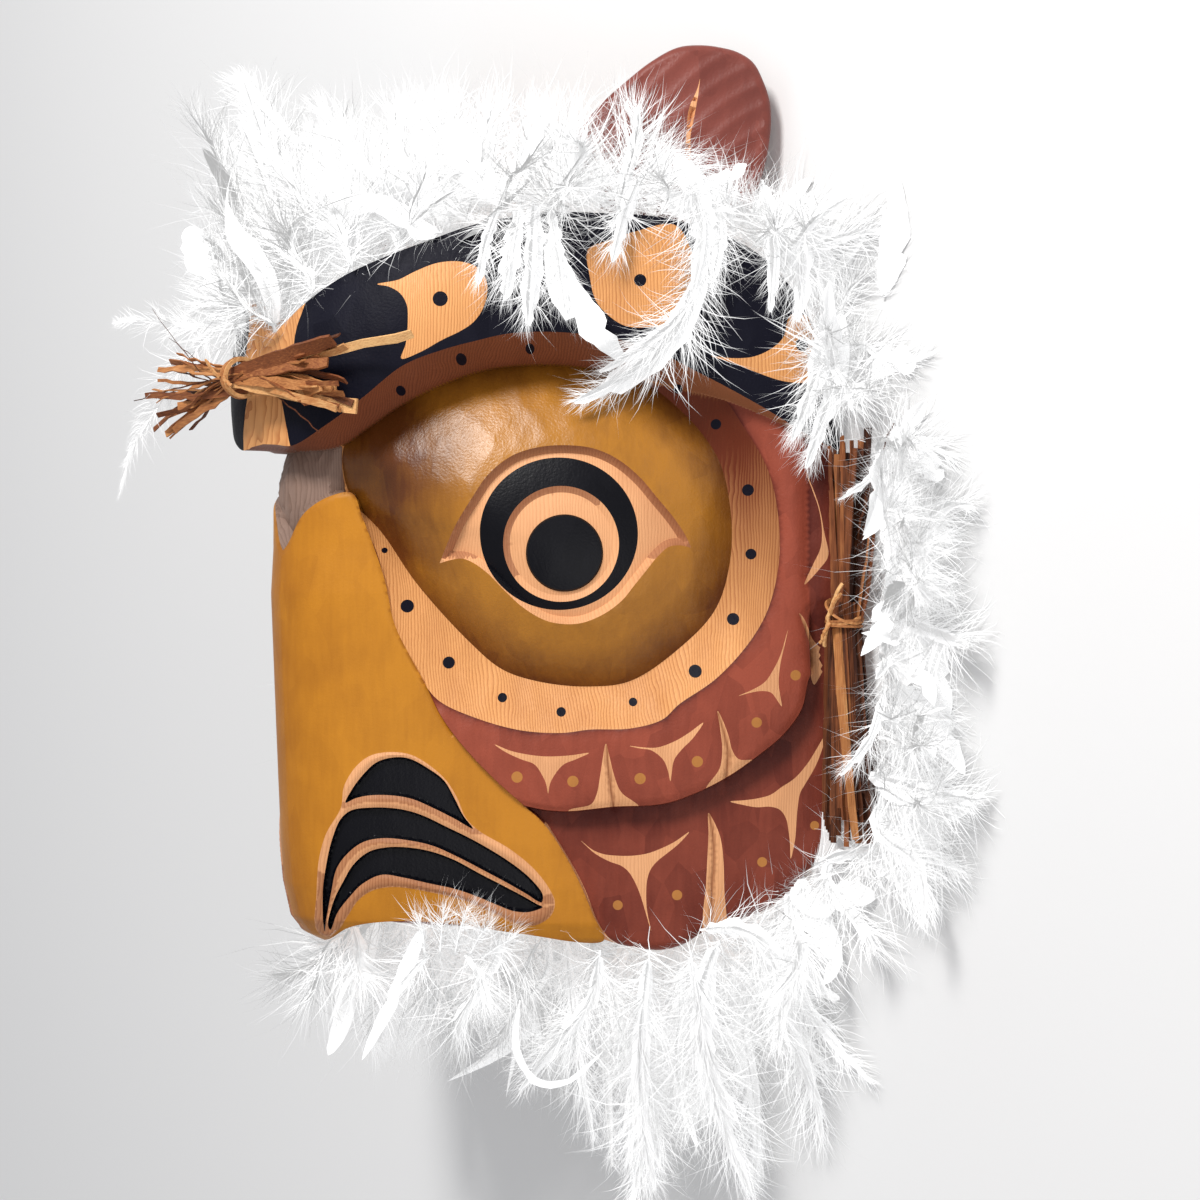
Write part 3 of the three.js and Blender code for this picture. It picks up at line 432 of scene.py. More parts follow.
# Painted forms and knife cuts of the cheek and brow, all on the same u, v face.
TRIGONS = [
    [(-46.4, -63.6), (-38.9, -66.5), (-25.4, -68.7), (-13.3, -68.3), (-4.8, -67.2), (-10.6, -70),
     (-16, -72.3), (-20.1, -77.1), (-22.1, -81.1), (-22.8, -85.2), (-23.7, -80.8), (-25.4, -77.1),
     (-28.8, -72.3), (-34.9, -70), (-41.6, -66.9)],
    [(13, -64.1), (24.4, -64.8), (32.5, -62.1), (39.2, -58.1), (45.3, -53.8), (40.6, -60.8),
     (35.9, -65.5), (32.5, -70.2), (31.5, -75.6), (30.9, -79.6), (29.8, -74.9), (27.8, -70.2),
     (22.4, -65.9), (17.7, -65.2)],
    [(60.8, -42), (66.9, -39.3), (72.3, -35.9), (75.6, -31.2), (79, -24.4), (82.4, -13), (80.8, -20.4),
     (79, -28.5), (78.3, -36.6), (79, -42), (79.7, -46.7), (77.7, -44), (75, -40.6), (70.9, -39.9),
     (66.2, -40.6)],
    [(-8.5, -106.7), (-3.5, -110.7), (1.4, -112.7), (7.8, -113.4), (14.1, -113.4), (20.5, -112.5),
     (26.8, -110.3), (33.2, -107.1), (39.5, -102.8), (35, -108), (29.5, -112.5), (25, -116.2),
     (22.3, -119.8), (20.9, -124.3), (20.5, -130.7), (20.9, -137.9), (22.7, -147), (20, -137.9),
     (17.8, -130.7), (15.5, -125.2), (12.8, -120.7), (9.6, -118), (4.2, -116), (-2.2, -112.5),
     (-5.8, -109.4)],
    [(57.6, -89.3), (63.9, -88.7), (70.2, -87.8), (75.7, -86.2), (80.2, -83), (86.4, -78.8),
     (92.3, -71.9), (100.2, -59.4), (96.3, -71.9), (90.9, -81.6), (88.8, -85.3), (87.6, -91.6),
     (87, -99.8), (86.4, -107), (84.6, -114.7), (84.3, -108.8), (83.6, -102.5), (82.5, -97),
     (79.8, -93), (75.7, -91.6), (69.3, -91.8), (63, -90.7)],
    [(90.2, 57.1), (93.4, 49.7), (96.5, 40.2), (98.5, 29.5), (100.2, 19.4), (96.1, 13.3), (89.8, 6.8),
     (93.8, 16), (96.8, 22.7), (97.5, 30.8), (96.1, 40.2), (93.4, 48.3)],
]
DIVIDERS = [
    [(2.6, -63.1), (4.2, -68.9), (6.2, -77), (9.3, -84.4), (17, -90.5), (19, -95.2), (6.9, -98.2),
     (-10.6, -98.2), (-13.9, -92.9), (-3.9, -89.8), (-1.4, -85.1), (-0.1, -78.3), (0.9, -71.6)],
    [(51.6, -48.6), (53.8, -52.7), (56.3, -59.4), (58.1, -66.1), (61, -69.9), (69.5, -70.6),
     (72.2, -74.9), (62.1, -82.3), (50, -88.3), (46.6, -83.3), (52.4, -74.2), (53.6, -66.1),
     (52.7, -56.7)],
    [(87.5, -5.8), (89.8, -8.5), (92.1, -13.7), (94.8, -18.4), (98.5, -21.5), (103.7, -22),
     (103.9, -24.4), (98.5, -31.8), (94.8, -37.5), (93.2, -32.5), (93.4, -26.5), (92.1, -19),
     (89.8, -12.3)],
    [(48.1, -94.4), (50.4, -98), (53.1, -104.4), (54.3, -110.7), (54.9, -118.9), (55.2, -128.9),
     (56, -137.9), (57.2, -148.8), (56.7, -157.8), (44, -157.8), (45.4, -147), (45.8, -137.9),
     (46.8, -128.9), (47.5, -116.2), (48.1, -103.5)],
]
KERFS = [
    [(3, -64.3), (3.5, -72.9), (4.5, -81), (6.2, -92.9)],
    [(51.9, -50), (54.3, -58.1), (56.1, -66.2), (55.4, -78.3)],
    [(87.8, -6.9), (91.1, -15), (92.9, -21.7), (93.4, -29.8)],
    [(48.5, -95.3), (50, -103.5), (50.4, -114.4), (49.7, -128.9), (49.1, -143.3)],
]
CHEEK_CORNER = [(-24.4, -98.5), (-20.3, -104.3), (-15.8, -111.5), (-10.3, -121), (-5.8, -130.5),
                (-1.7, -141.4), (3.3, -149.5), (9.6, -154.1), (15.9, -155.2), (16, -159.7), (0, -159.7),
                (-4.4, -146.4), (-13.3, -124.2), (-24.4, -104.2)]
BARE_PATCHES = [
    [(-96.7, 137), (-87.3, 138.7), (-80.5, 142.1), (-70.2, 146), (-59.9, 146.4), (-53.1, 143.8),
     (-49.3, 138.7), (-48.8, 131.8), (-51, 125), (-54.8, 119.9), (-59.9, 116.4), (-68.5, 112.2),
     (-77.9, 107), (-85.9, 104.3), (-83.9, 110.5), (-83, 119), (-83.5, 127.6), (-86.5, 132.7),
     (-91.6, 135.8)],
    [(-5.2, 151.7), (3.3, 155.9), (15.3, 160.2), (32.5, 163.6), (39.3, 153.4), (41, 141.4),
     (36.7, 129.4), (29.9, 120), (23.9, 118.3), (11.1, 118.6), (3.3, 123.4), (-1.8, 129.4),
     (-4.4, 139.7)],
    [(48.3, 105.9), (58.7, 105.1), (67.3, 106.1), (75.1, 109.9), (80.3, 115.1), (82, 122),
     (83.8, 125.1), (91.6, 125.1), (98.5, 120.3), (101.9, 106.5), (100.2, 96.1), (91.6, 95),
     (79.5, 95.7), (67.3, 99.5), (57, 103.3)],
]
END_PATCH = [(-172, 140), (-128, 140), (-131, 128), (-133.6, 121), (-134.9, 112.8), (-134, 108),
             (-139, 103.4), (-146, 100.5), (-158, 99.5), (-172, 99)]
FRONT_PATCH = [(-170, 60), (-136.4, 60), (-137.4, 71.8), (-139, 79.8), (-140.7, 87.9), (-142.6, 96),
               (-146, 104), (-152, 112), (-170, 116)]
SPOTS = {
    "blue_black": [(-69, 130.1, 3.3), (17.4, 138.5, 2.7), (88.6, 112, 2.9), (-87.2, 91.6, 2.0),
                   (-60.5, 105, 2.3), (-30.6, 109.8, 2.0), (34.5, 93.4, 1.9), (-95.9, 22.1, 1.3),
                   (-85.7, -2.7, 2.9), (-67.2, -27.8, 2.7), (-43.3, -43.3, 2.1), (-17.2, -49.5, 2.1),
                   (14.6, -45.1, 1.9), (42, -31.4, 2.9), (58.8, -8.4, 2.7), (66.7, 20.3, 2.4),
                   (65.4, 48.6, 2.6), (51.3, 77.8, 2.3)],
    "ochre_spot": [(-36.5, -77.9, 2.5), (-11.9, -79.7, 2.5), (17.6, -78.4, 2.5), (42.7, -70.9, 2.5),
                   (68.7, -53.7, 2.3), (85.8, -33, 2.3), (7.9, -135.5, 2.2), (34.2, -130.9, 2.3),
                   (71.9, -116.2, 2.2), (95.2, -100, 2.0)],
}
FACE_FINISHES = ["ochre_beak", "ochre_orb", "brick_red", "blue_black", "gloss_black", "bare_cedar",
                 "shaded_cedar", "pale_cedar", "silver_cedar", "ochre_spot", "side_cedar", "hollow_cedar",
                 "bevel_shade_cedar"]
FINISH = {name: i for i, name in enumerate(FACE_FINISHES)}


def inset(line, distance):
    """A closed line moved inwards, or outwards if negative, without the parts that fold back."""
    ahead, behind = np.roll(line, -1, 0), np.roll(line, 1, 0)
    area = np.sum(line[:, 0] * ahead[:, 1] - ahead[:, 0] * line[:, 1])
    along = ahead - behind
    along /= np.maximum(np.linalg.norm(along, axis=1), 1e-9)[:, None]
    inward = np.stack([-along[:, 1], along[:, 0]], 1) * np.sign(area)
    moved = line + inward * distance
    return moved[gap_to(line, moved[:, 0], moved[:, 1]) > abs(distance) * 0.97]


def evenly(line, step):
    """The same closed line with its points an even step apart."""
    ring = np.concatenate([line, line[:1]])
    walked = np.concatenate([[0], np.cumsum(np.linalg.norm(np.diff(ring, axis=0), axis=1))])
    count = max(8, int(walked[-1] / step))
    at = np.arange(count) / count * walked[-1]
    return np.stack([np.interp(at, walked, ring[:, 0]), np.interp(at, walked, ring[:, 1])], 1)


def eye_ring(name, offset, step):
    """A carved ring about the eye, offset from one of the cheek's lines."""
    far = rings_at(TURNS[:-1])[name] + offset
    line = EYE + far[:, None] * np.stack([np.cos(TURNS[:-1]), np.sin(TURNS[:-1])], 1)
    return evenly(line, step)


def on_bridge(u, v):
    """Where the bridge stands in front of the socket."""
    return u < np.interp(v, BRIDGE_FOOT[:, 1], BRIDGE_FOOT[:, 0], left=BEHIND, right=BEHIND)


def covered(u, v):
    """Where the beak, the bridge or the brow hides the cheek."""
    return inside(BEAK_LINE, u, v) | (v > height_of(BROW_FOOT, u)) | on_bridge(u, v)


TRIGON_LINES = [smooth_line(t, step=1.2) for t in TRIGONS]
DIVIDER_LINES = [smooth_line(t, step=1.2) for t in DIVIDERS]
PATCH_LINES = [smooth_line(t, step=1.4) for t in BARE_PATCHES]
FRONT_LINE = smooth_line(FRONT_PATCH, step=1.4)
END_LINE = smooth_line(END_PATCH, step=1.4)
CORNER_LINE = smooth_line(CHEEK_CORNER, step=1.4)
KERF_LINES = [smooth_line(k, False, 1.4) for k in KERFS]
SPOT_LINES = {look: [oval((u, v), r, r, 18) for u, v, r in spots] for look, spots in SPOTS.items()}
BROW_OUTLINE = np.concatenate([BROW_LINES["under"], BROW_LINES["top"][::-1]])

seam_points, seam_edges = [], []


def add_seam(line, closed=True, hidden=None):
    """Makes the mesh keep an edge along a line, except where something covers it."""
    n = len(line)
    seen = np.ones(n, bool) if hidden is None else ~hidden(line[:, 0], line[:, 1])
    number = {}
    for i in range(n if closed else n - 1):
        j = (i + 1) % n
        if seen[i] or seen[j]:
            for k in (i, j):
                if k not in number:
                    number[k] = len(seam_points)
                    seam_points.append((float(line[k][0]), float(line[k][1])))
            seam_edges.append((number[i], number[j]))


def over_cheek(u, v):
    """Where the cheek is hidden or has ended."""
    return covered(u, v) | ~inside(LINES["face"], u, v)


for name, offset, step in (("pupil", -0.7, 1.2), ("pupil", 0, 1.2), ("iris", -IRIS_BEVEL, 1.2),
                           ("iris", 0, 1.3), ("ring", 0, 1.4), ("orb", 0, 1.7), ("band", 0, 1.7)):
    add_seam(eye_ring(name, offset, step), hidden=over_cheek)
add_seam(LID_LINE)
add_seam(evenly(inset(LID_LINE, LID_BEVEL), 1.2))


def no_lip(u, v):
    """Where the upper layer of the cheek has no lip of its own."""
    return over_cheek(u, v) | (np.degrees(np.arctan2(v - EYE[1], u - EYE[0])) > -12) & (u > EYE[0])


for name, offset in (("lip", -2.5), ("lip", -0.8), ("lip", 0), ("foot", 0)):
    add_seam(eye_ring(name, offset, 1.6), hidden=no_lip)
add_seam(LINES["face"], hidden=lambda u, v: inside(BEAK_LINE, u, v) | (v > height_of(BROW_FOOT, u) + 1))
add_seam(evenly(inset(LINES["face"], 3), 1.9), hidden=covered)
add_seam(evenly(inset(LINES["face"], 1.2), 1.9), hidden=covered)
add_seam(BEAK_LINE, hidden=lambda u, v: v > height_of(BROW_FOOT, u))
add_seam(evenly(inset(BEAK_LINE, -0.5), 1.6), hidden=over_cheek)
add_seam(evenly(inset(BEAK_LINE, 1.6), 1.6))
for line in [MOUTH_LINE] + FIELD_LINES:
    add_seam(line)
for line in (BROW_FOOT, BROW_FOOT - [0, 0.5], BROW_LINES["face"], BROW_LINES["top"], BRIDGE_FOOT):
    add_seam(line, closed=False)
for line in TRIGON_LINES + PATCH_LINES:
    add_seam(line)
for line in DIVIDER_LINES:
    add_seam(line, hidden=lambda u, v: gap_to(LINES["lip"], u, v) < 0.2)
for line in KERF_LINES:
    add_seam(line, closed=False)
for line in (FRONT_LINE, END_LINE):
    add_seam(line, hidden=lambda u, v: ~inside(BROW_OUTLINE, u, v))
add_seam(CORNER_LINE, hidden=lambda u, v: inside(BEAK_LINE, u, v) | ~inside(LINES["face"], u, v))
for line in sum(SPOT_LINES.values(), []):
    add_seam(line)


def on_mask(u, v):
    """Within the outline of the whole near side."""
    return inside(LINES["face"], u, v) | inside(BEAK_LINE, u, v) | inside(BROW_OUTLINE, u, v)


# Points between the seams, on a triangular grid that is finer round the mouth.
MESH_STEP = 1.7
FINE_STEP = 0.85
MOUTH_LOW, MOUTH_HIGH = (-129, -154), (-17, -65)
seam_tree = kdtree.KDTree(len(seam_points))
for i, (u, v) in enumerate(seam_points):
    seam_tree.insert((u, v, 0), i)
seam_tree.balance()


def grid_points(low, high, step):
    """A triangular grid of points."""
    rows = np.arange(low[1], high[1], step * 0.866)
    columns = np.arange(low[0], high[0], step)
    v, u = np.meshgrid(rows, columns, indexing="ij")
    u = u + (np.arange(len(rows)) % 2)[:, None] * step / 2
    return u.ravel(), v.ravel()


fill_points = []
for low, high, step in (((-176, -160), (108, 172), MESH_STEP), (MOUTH_LOW, MOUTH_HIGH, FINE_STEP)):
    u, v = grid_points(low, high, step)
    keep = on_mask(u, v) & (u * math.cos(SIDE_TURN) + 156 * math.sin(SIDE_TURN) > -4)
    in_mouth = (u > MOUTH_LOW[0]) & (u < MOUTH_HIGH[0]) & (v > MOUTH_LOW[1]) & (v < MOUTH_HIGH[1])
    keep &= in_mouth == (step == FINE_STEP)
    for a, b in zip(u[keep], v[keep]):
        if seam_tree.find((a, b, 0))[2] > step * 0.55:
            fill_points.append((a, b))

flat_points = [Vector(p) for p in seam_points + fill_points]
flat_points, _, flat_faces, _, _, _ = geometry.delaunay_2d_cdt(flat_points, seam_edges, [], 0, 1e-4)
flat = np.array([(p.x, p.y) for p in flat_points])
faces = np.array(flat_faces)
centre = flat[faces].mean(1)
kept = on_mask(*centre.T)
faces, centre = faces[kept], centre[kept]


# Knife and gouge work on the carved face, in mm, and where each paint lies.
GOUGE_STEP, GOUGE_RADIUS = 12, 55
GROOVE_STEP, GROOVE_DEEP = 5.2, 0.9
FIELD_DEEP, FIELD_BEVEL = 3, 0.9
RIB_BEVEL = 1.8
KERF_DEEP, KERF_HALF = 0.7, 1.8
BEAK_EASED, BEAK_EASE_WIDE = 0.9, 1.6


def scoops(u, v, size, radius, seed):
    """Shallow hollows left by a gouge, meeting in soft ridges."""
    random_shift = np.random.default_rng(seed)
    cu, cv = grid_points((-190, -170), (120, 180), size)
    cu = cu + random_shift.uniform(-0.35, 0.35, len(cu)) * size
    cv = cv + random_shift.uniform(-0.35, 0.35, len(cv)) * size
    tree = kdtree.KDTree(len(cu))
    for i in range(len(cu)):
        tree.insert((cu[i], cv[i] * 0.7, 0), i)
    tree.balance()
    near = np.array([tree.find((a, b * 0.7, 0))[2] for a, b in zip(u, v)])
    return near ** 2 / (2 * radius)


def carved_level(u, v):
    """The whole carved face: the form of the block with the finer knife work on it."""
    foot = height_of(BROW_FOOT, u)
    on_brow = v >= foot - 0.12
    under = height_of(BROW_LINES["under"], u)
    brow = np.where(on_brow, brow_level(u, np.maximum(v, under)), BEHIND)
    base = other_level(u, v)
    in_beak = inside(BEAK_LINE, u, v) | (gap_to(BEAK_LINE, u, v) < 0.12)
    bridge_shows = (bridge_level(u, v) > cheek_level(u, v)) & ~in_beak & ~on_brow
    level = np.maximum(base, brow)

    # Gouge marks, softer on the smooth beak.
    face_line = height_of(BROW_LINES["face"], u)
    on_eye = inside(LID_LINE, u, v)
    marks = scoops(u, v, GOUGE_STEP, GOUGE_RADIUS, 3)
    share = np.where(in_beak & ~on_brow, 0.12, 0.85)
    share = np.where(on_brow & (v > face_line), 0.5, share)
    share = np.where(on_eye | (on_brow & (v <= face_line)), 0.0, share)
    level = level + marks * share * np.clip(gap_to(LINES["face"], u, v) / 4, 0, 1)

    # Wavy grooves down the bridge.
    lane = (u + 1.5 * np.sin(v / 7.0) + 0.8 * np.sin(v / 2.9 + u / 5)) / GROOVE_STEP
    level = level - np.where(bridge_shows, GROOVE_DEEP * (1 - (2 * (lane % 1.0) - 1) ** 2), 0)

    # Open beak: black fields sunk between ribs that are bevelled to both sides.
    in_mouth = inside(MOUTH_LINE, u, v)
    to_field = np.full(len(u), 1e3)
    sunk = np.zeros(len(u))
    for line in FIELD_LINES:
        gap = gap_to(line, u, v)
        within = inside(line, u, v)
        to_field = np.minimum(to_field, np.where(within, 0, gap))
        sunk = np.maximum(sunk, np.where(within, np.minimum(gap / FIELD_BEVEL, 1), 0))
    to_edge = gap_to(MOUTH_LINE, u, v)
    rib = np.minimum(np.minimum(to_field, to_edge), RIB_BEVEL) * 0.5
    level = level + np.where(in_mouth & (sunk == 0), rib, 0) - FIELD_DEEP * sunk

    # Knife lines down the middle of the dividers, and the eased upper edge of the beak.
    for line in KERF_LINES:
        level = level - KERF_DEEP * np.maximum(1 - gap_to(line, u, v, closed=False) / KERF_HALF, 0)
    proud = in_beak & ~on_brow & (v > -60)
    ease_edge = BEAK_EASED * np.maximum(1 - gap_to(BEAK_LINE, u, v) / BEAK_EASE_WIDE, 0)
    return level - np.where(proud, ease_edge, 0)


def finish_at(u, v):
    """Which paint or bare wood each face of the mask has."""
    look = np.full(len(u), FINISH["brick_red"])
    r, turn, to = about_eye(u, v)
    look[r < to["band"]] = FINISH["bare_cedar"]
    look[r < to["orb"]] = FINISH["ochre_orb"]
    on_eye = inside(LID_LINE, u, v)
    look[on_eye] = FINISH["pale_cedar"]
    look[on_eye & (r < to["ring"])] = FINISH["gloss_black"]
    look[on_eye & (r < to["iris"])] = FINISH["pale_cedar"]
    look[on_eye & (r < to["pupil"])] = FINISH["gloss_black"]
    lid_bevel = on_eye & (gap_to(LID_LINE, u, v) < LID_BEVEL)
    # The upper lid bevel, which faces down, and the upper left of the iris's sunk edge take a darker copy
    # of cedar: painted shade.
    look[lid_bevel & (v > EYE[1] - 6)] = FINISH["bevel_shade_cedar"]
    shaded_hole_side = np.cos(turn - 2.3) > 0.1
    look[on_eye & shaded_hole_side & (r < to["iris"]) & (r > to["iris"] - IRIS_BEVEL)] = FINISH["bevel_shade_cedar"]
    for line in TRIGON_LINES + [CORNER_LINE]:
        look[inside(line, u, v) & (r > to["band"])] = FINISH["pale_cedar"]
    for k, line in enumerate(DIVIDER_LINES):
        on_layer = r > to["foot"] if k == 3 else r < to["lip"] + 6 * (k == 2)
        look[inside(line, u, v) & (r > to["band"]) & on_layer] = FINISH["pale_cedar"]
    look[on_bridge(u, v) | ((u < -111) & (v > 4) & (v < 40))] = FINISH["silver_cedar"]
    look[inside(BEAK_LINE, u, v)] = FINISH["ochre_beak"]
    look[inside(MOUTH_LINE, u, v)] = FINISH["pale_cedar"]
    for line in FIELD_LINES:
        look[inside(line, u, v)] = FINISH["gloss_black"]
    on_brow = v > height_of(BROW_FOOT, u) - 0.25
    on_front = on_brow & (v > height_of(BROW_LINES["face"], u))
    # The brow's under face takes a dark copy of cedar that paints its shade.
    look[on_brow] = FINISH["shaded_cedar"]
    look[on_front] = FINISH["blue_black"]
    for line in PATCH_LINES + [FRONT_LINE, END_LINE]:
        look[on_front & inside(line, u, v)] = FINISH["bare_cedar"]
    for name, spots in SPOT_LINES.items():
        for line in spots:
            look[inside(line, u, v)] = FINISH[name]
    return look


def paint_shade_at(u, v):
    """How much painted shade darkens the paint: at the edge of the eye's dome and over its left side under
    the brow, a little all over the upper red layer and more next to the bare band, more on the lower red
    layer and most just under the lip, and on the beak's left side, its lower part and along its edge.
    """
    r, _, to = about_eye(u, v)
    # Painted shade at the dome's edge and, on its left, under the brow.
    orb_edge = np.clip(1 - (to["orb"] - r) / 20, 0, 1) ** 1.1 * 0.85
    paint_shade = np.maximum(orb_edge, np.clip((-48 - u) / 42, 0, 1) * np.clip((v + 20) / 40, 0, 1) * 0.95)
    # Painted shade on the red: a little all over the upper layer, more next to the bare band, more on the
    # lower layer and most just under the lip.
    paint_shade = np.where(r > to["band"], 0.12 + np.clip(1 - (r - to["band"]) / 4, 0, 1) * 0.3, paint_shade)
    under_lip = np.clip(1 - (r - to["foot"]) / 16, 0, 1)
    paint_shade = np.where(r > to["lip"], 0.5 + 0.4 * under_lip, paint_shade)
    on_beak = inside(BEAK_LINE, u, v)
    # Painted shade on the beak's left side, its lower part and along its edge.
    beak_shade = np.clip((-112 - u) / 26, 0, 1) * 0.4 + np.clip((-95 - v) / 60, 0, 1) * 0.18
    beak_shade += np.clip(1 - gap_to(BEAK_LINE, u, v) / 2.2, 0, 1) * 0.12
    return np.where(on_beak, beak_shade, paint_shade)


def field_gap(u, v):
    """Distance from each point to the nearest black field of the open beak."""
    return np.min([np.where(inside(line, u, v), 0, gap_to(line, u, v)) for line in FIELD_LINES], axis=0)


def shade_and_tint_at(u, v):
    """How far the bare wood turns to its second colour: painted shade on the band towards its upper right
    under the brow, on the upper lid bevel, on the upper left of the iris's sunk edge and in the knife
    lines; darker rib faces in the mouth where they slope up towards a black field; and on the brow's under
    face, a shaded copy of cedar, a lighter colour towards the right.
    """
    r, turn, to = about_eye(u, v)
    degrees = np.degrees(turn)
    # Painted shade on the band, strongest towards its upper right under the brow.
    shade_and_tint = np.clip((degrees + 32) / 62, 0, 1) * np.clip((150 - degrees) / 60, 0, 1)
    # Painted shade on the upper lid bevel, which faces down, and on the upper left of the iris's sunk edge.
    on_eye = inside(LID_LINE, u, v)
    lid_edge = np.clip(1 - gap_to(LID_LINE, u, v) / LID_BEVEL, 0, 1)
    shade_and_tint = np.where(on_eye, lid_edge * np.clip((v - EYE[1]) / 20 + 0.35, 0, 1) * 0.8, shade_and_tint)
    in_hole = on_eye & (r < to["iris"]) & (r > to["iris"] - IRIS_BEVEL)
    shade_and_tint = np.where(in_hole, np.clip(np.cos(turn - 2.4), 0, 1) * 0.6, shade_and_tint)
    # On the mouth's ribs, the faces that slope up towards a black field above are darker.
    gap_here, gap_above = field_gap(u, v), field_gap(u, v + 0.3)
    shade_and_tint = np.where(inside(MOUTH_LINE, u, v), np.where(gap_above < gap_here + 0.05, 0.6, 0.12), shade_and_tint)
    shade_and_tint = np.where(inside(BEAK_LINE, u, v) & ~inside(MOUTH_LINE, u, v), 0.2, shade_and_tint)
    on_red = (r > to["band"]) & ~inside(BEAK_LINE, u, v)
    shade_and_tint = np.where(on_red, 0.08, shade_and_tint)
    # Painted shade in the knife lines down the dividers.
    for line in KERF_LINES:
        shade_and_tint = np.maximum(shade_and_tint, 0.75 * np.clip(1 - gap_to(line, u, v, closed=False) / 1.3, 0, 1))
    # The brow's under face turns to its lighter second colour towards the right; its front gets none.
    on_brow = v > height_of(BROW_FOOT, u) - 1.2
    on_front = on_brow & (v > height_of(BROW_LINES["face"], u) + 0.1)
    shade_and_tint = np.where(on_brow, np.clip((u - 10) / 45, 0, 1), shade_and_tint)
    return np.where(on_front, 0.0, shade_and_tint)


def outer_edges(triangles):
    """The edges that have a triangle on one side only."""
    seen = {}
    for a, b, c in triangles.tolist():
        seen.update({(a, b): True, (b, c): True, (c, a): True})
    return [edge for edge in seen if edge[::-1] not in seen]


height = carved_level(flat[:, 0], flat[:, 1])
solid_points = flat[:, :1] * ACROSS + flat[:, 1:] * UP + height[:, None] * OUT
looks = finish_at(centre[:, 0], centre[:, 1])

# Side walls down past the ground under every outer edge, cut off level with the ground.
WALL_REACH = 330
outer = outer_edges(faces)
rim_points = sorted({i for edge in outer for i in edge})
below = {i: len(solid_points) + k for k, i in enumerate(rim_points)}
all_points = np.concatenate([solid_points, solid_points[rim_points] - WALL_REACH * OUT])
walls = [(a, below[a], below[b], b) for a, b in outer]

half = bpy.data.meshes.new("mask_half")
half.from_pydata(all_points.tolist(), [], faces.tolist() + walls)
half.polygons.foreach_set("material_index", looks.tolist() + [FINISH["side_cedar"]] * len(walls))
# The mesh's points carry the paint's painted shade and the bare wood's painted shade and tint.
for name, shade in (("paint_shade", paint_shade_at(flat[:, 0], flat[:, 1])), ("shade_and_tint", shade_and_tint_at(flat[:, 0], flat[:, 1]))):
    layer = half.attributes.new(name, "FLOAT", "POINT")
    layer.data.foreach_set("value", np.concatenate([shade, np.full(len(rim_points), 0.35)]).tolist())
carving = bmesh.new()
carving.from_mesh(half)
bpy.data.meshes.remove(half)
for across_plane in ((1, 0, 0), (0, 0, 1)):
    bmesh.ops.bisect_plane(carving, geom=carving.verts[:] + carving.edges[:] + carving.faces[:], dist=1e-4,
                           plane_co=(0, 0, 0), plane_no=across_plane, clear_inner=True)
for corner in carving.verts:
    if abs(corner.co.x) < 1e-3:
        corner.co.x = 0
    if abs(corner.co.z) < 1e-3:
        corner.co.z = 0
bmesh.ops.delete(carving, geom=[c for c in carving.verts if not c.link_faces], context="VERTS")

# The far half is the same carving turned over the centre plane.
all_parts = carving.verts[:] + carving.edges[:] + carving.faces[:]
other_half = bmesh.ops.duplicate(carving, geom=all_parts)["geom"]
for part in other_half:
    if isinstance(part, bmesh.types.BMVert):
        part.co.x = -part.co.x
bmesh.ops.reverse_faces(carving, faces=[p for p in other_half if isinstance(p, bmesh.types.BMFace)])
bmesh.ops.remove_doubles(carving, verts=[c for c in carving.verts if c.co.x == 0], dist=2e-3)

# Hollow for the wearer's face, with a smooth rounded roof.
HOLLOW = [(0, 143, 134), (8, 138.5, 130.5), (16, 133, 126), (26, 125, 119.5), (36, 116, 112),
          (48, 106, 103.5), (60, 95, 94), (72, 82.5, 83.5), (82, 70, 72), (91, 57, 59), (98, 45, 47),
          (103, 32, 33), (106, 22, 24), (107.4, 10, 11)]
HOLLOW_SIDES = 120
HOLLOW_AT = 8
HOLLOW_ROOF = 108
HOLLOW_SQUARE = 2.4
hollow_rings = []
for z, wide, high in HOLLOW:
    ring = []
    for k in range(HOLLOW_SIDES):
        turn = k / HOLLOW_SIDES * 2 * math.pi
        c, s = math.cos(turn), math.sin(turn)
        fit = (abs(c) ** HOLLOW_SQUARE + abs(s) ** HOLLOW_SQUARE) ** (-1 / HOLLOW_SQUARE)
        ring.append(carving.verts.new((wide * fit * c, HOLLOW_AT + high * fit * s, z)))
    hollow_rings.append(ring)
roof = carving.verts.new((0, HOLLOW_AT, HOLLOW_ROOF))
for k in range(HOLLOW_SIDES):
    j = (k + 1) % HOLLOW_SIDES
    for low_ring, high_ring in zip(hollow_rings, hollow_rings[1:]):
        wall = carving.faces.new((low_ring[k], high_ring[k], high_ring[j], low_ring[j]))
        wall.material_index = FINISH["hollow_cedar"]
    top = carving.faces.new((hollow_rings[-1][k], roof, hollow_rings[-1][j]))
    top.material_index = FINISH["hollow_cedar"]

# The flat back rim between the hollow and the outer walls.
rim_edges = []
for edge in carving.edges:
    if len(edge.link_faces) == 1 and all(abs(corner.co.z) < 1e-3 for corner in edge.verts):
        rim_edges.append(edge)
filled = bmesh.ops.triangle_fill(carving, edges=rim_edges, use_beauty=True, normal=(0, 0, -1))["geom"]
for part in filled:
    if isinstance(part, bmesh.types.BMFace):
        part.material_index = FINISH["hollow_cedar"]
        if part.normal.z > 0:
            part.normal_flip()
bmesh.ops.transform(carving, matrix=Matrix.Translation((0, CROWN_SHIFT, 0)), verts=carving.verts)
bmesh.ops.scale(carving, vec=(METRES, METRES, METRES), verts=carving.verts)
mask_mesh = bpy.data.meshes.new("mask")
carving.to_mesh(mask_mesh)
carving.free()
mask_mesh.shade_smooth()
mask_mesh.set_sharp_from_angle(angle=math.radians(32))
mask = bpy.data.objects.new("mask", mask_mesh)
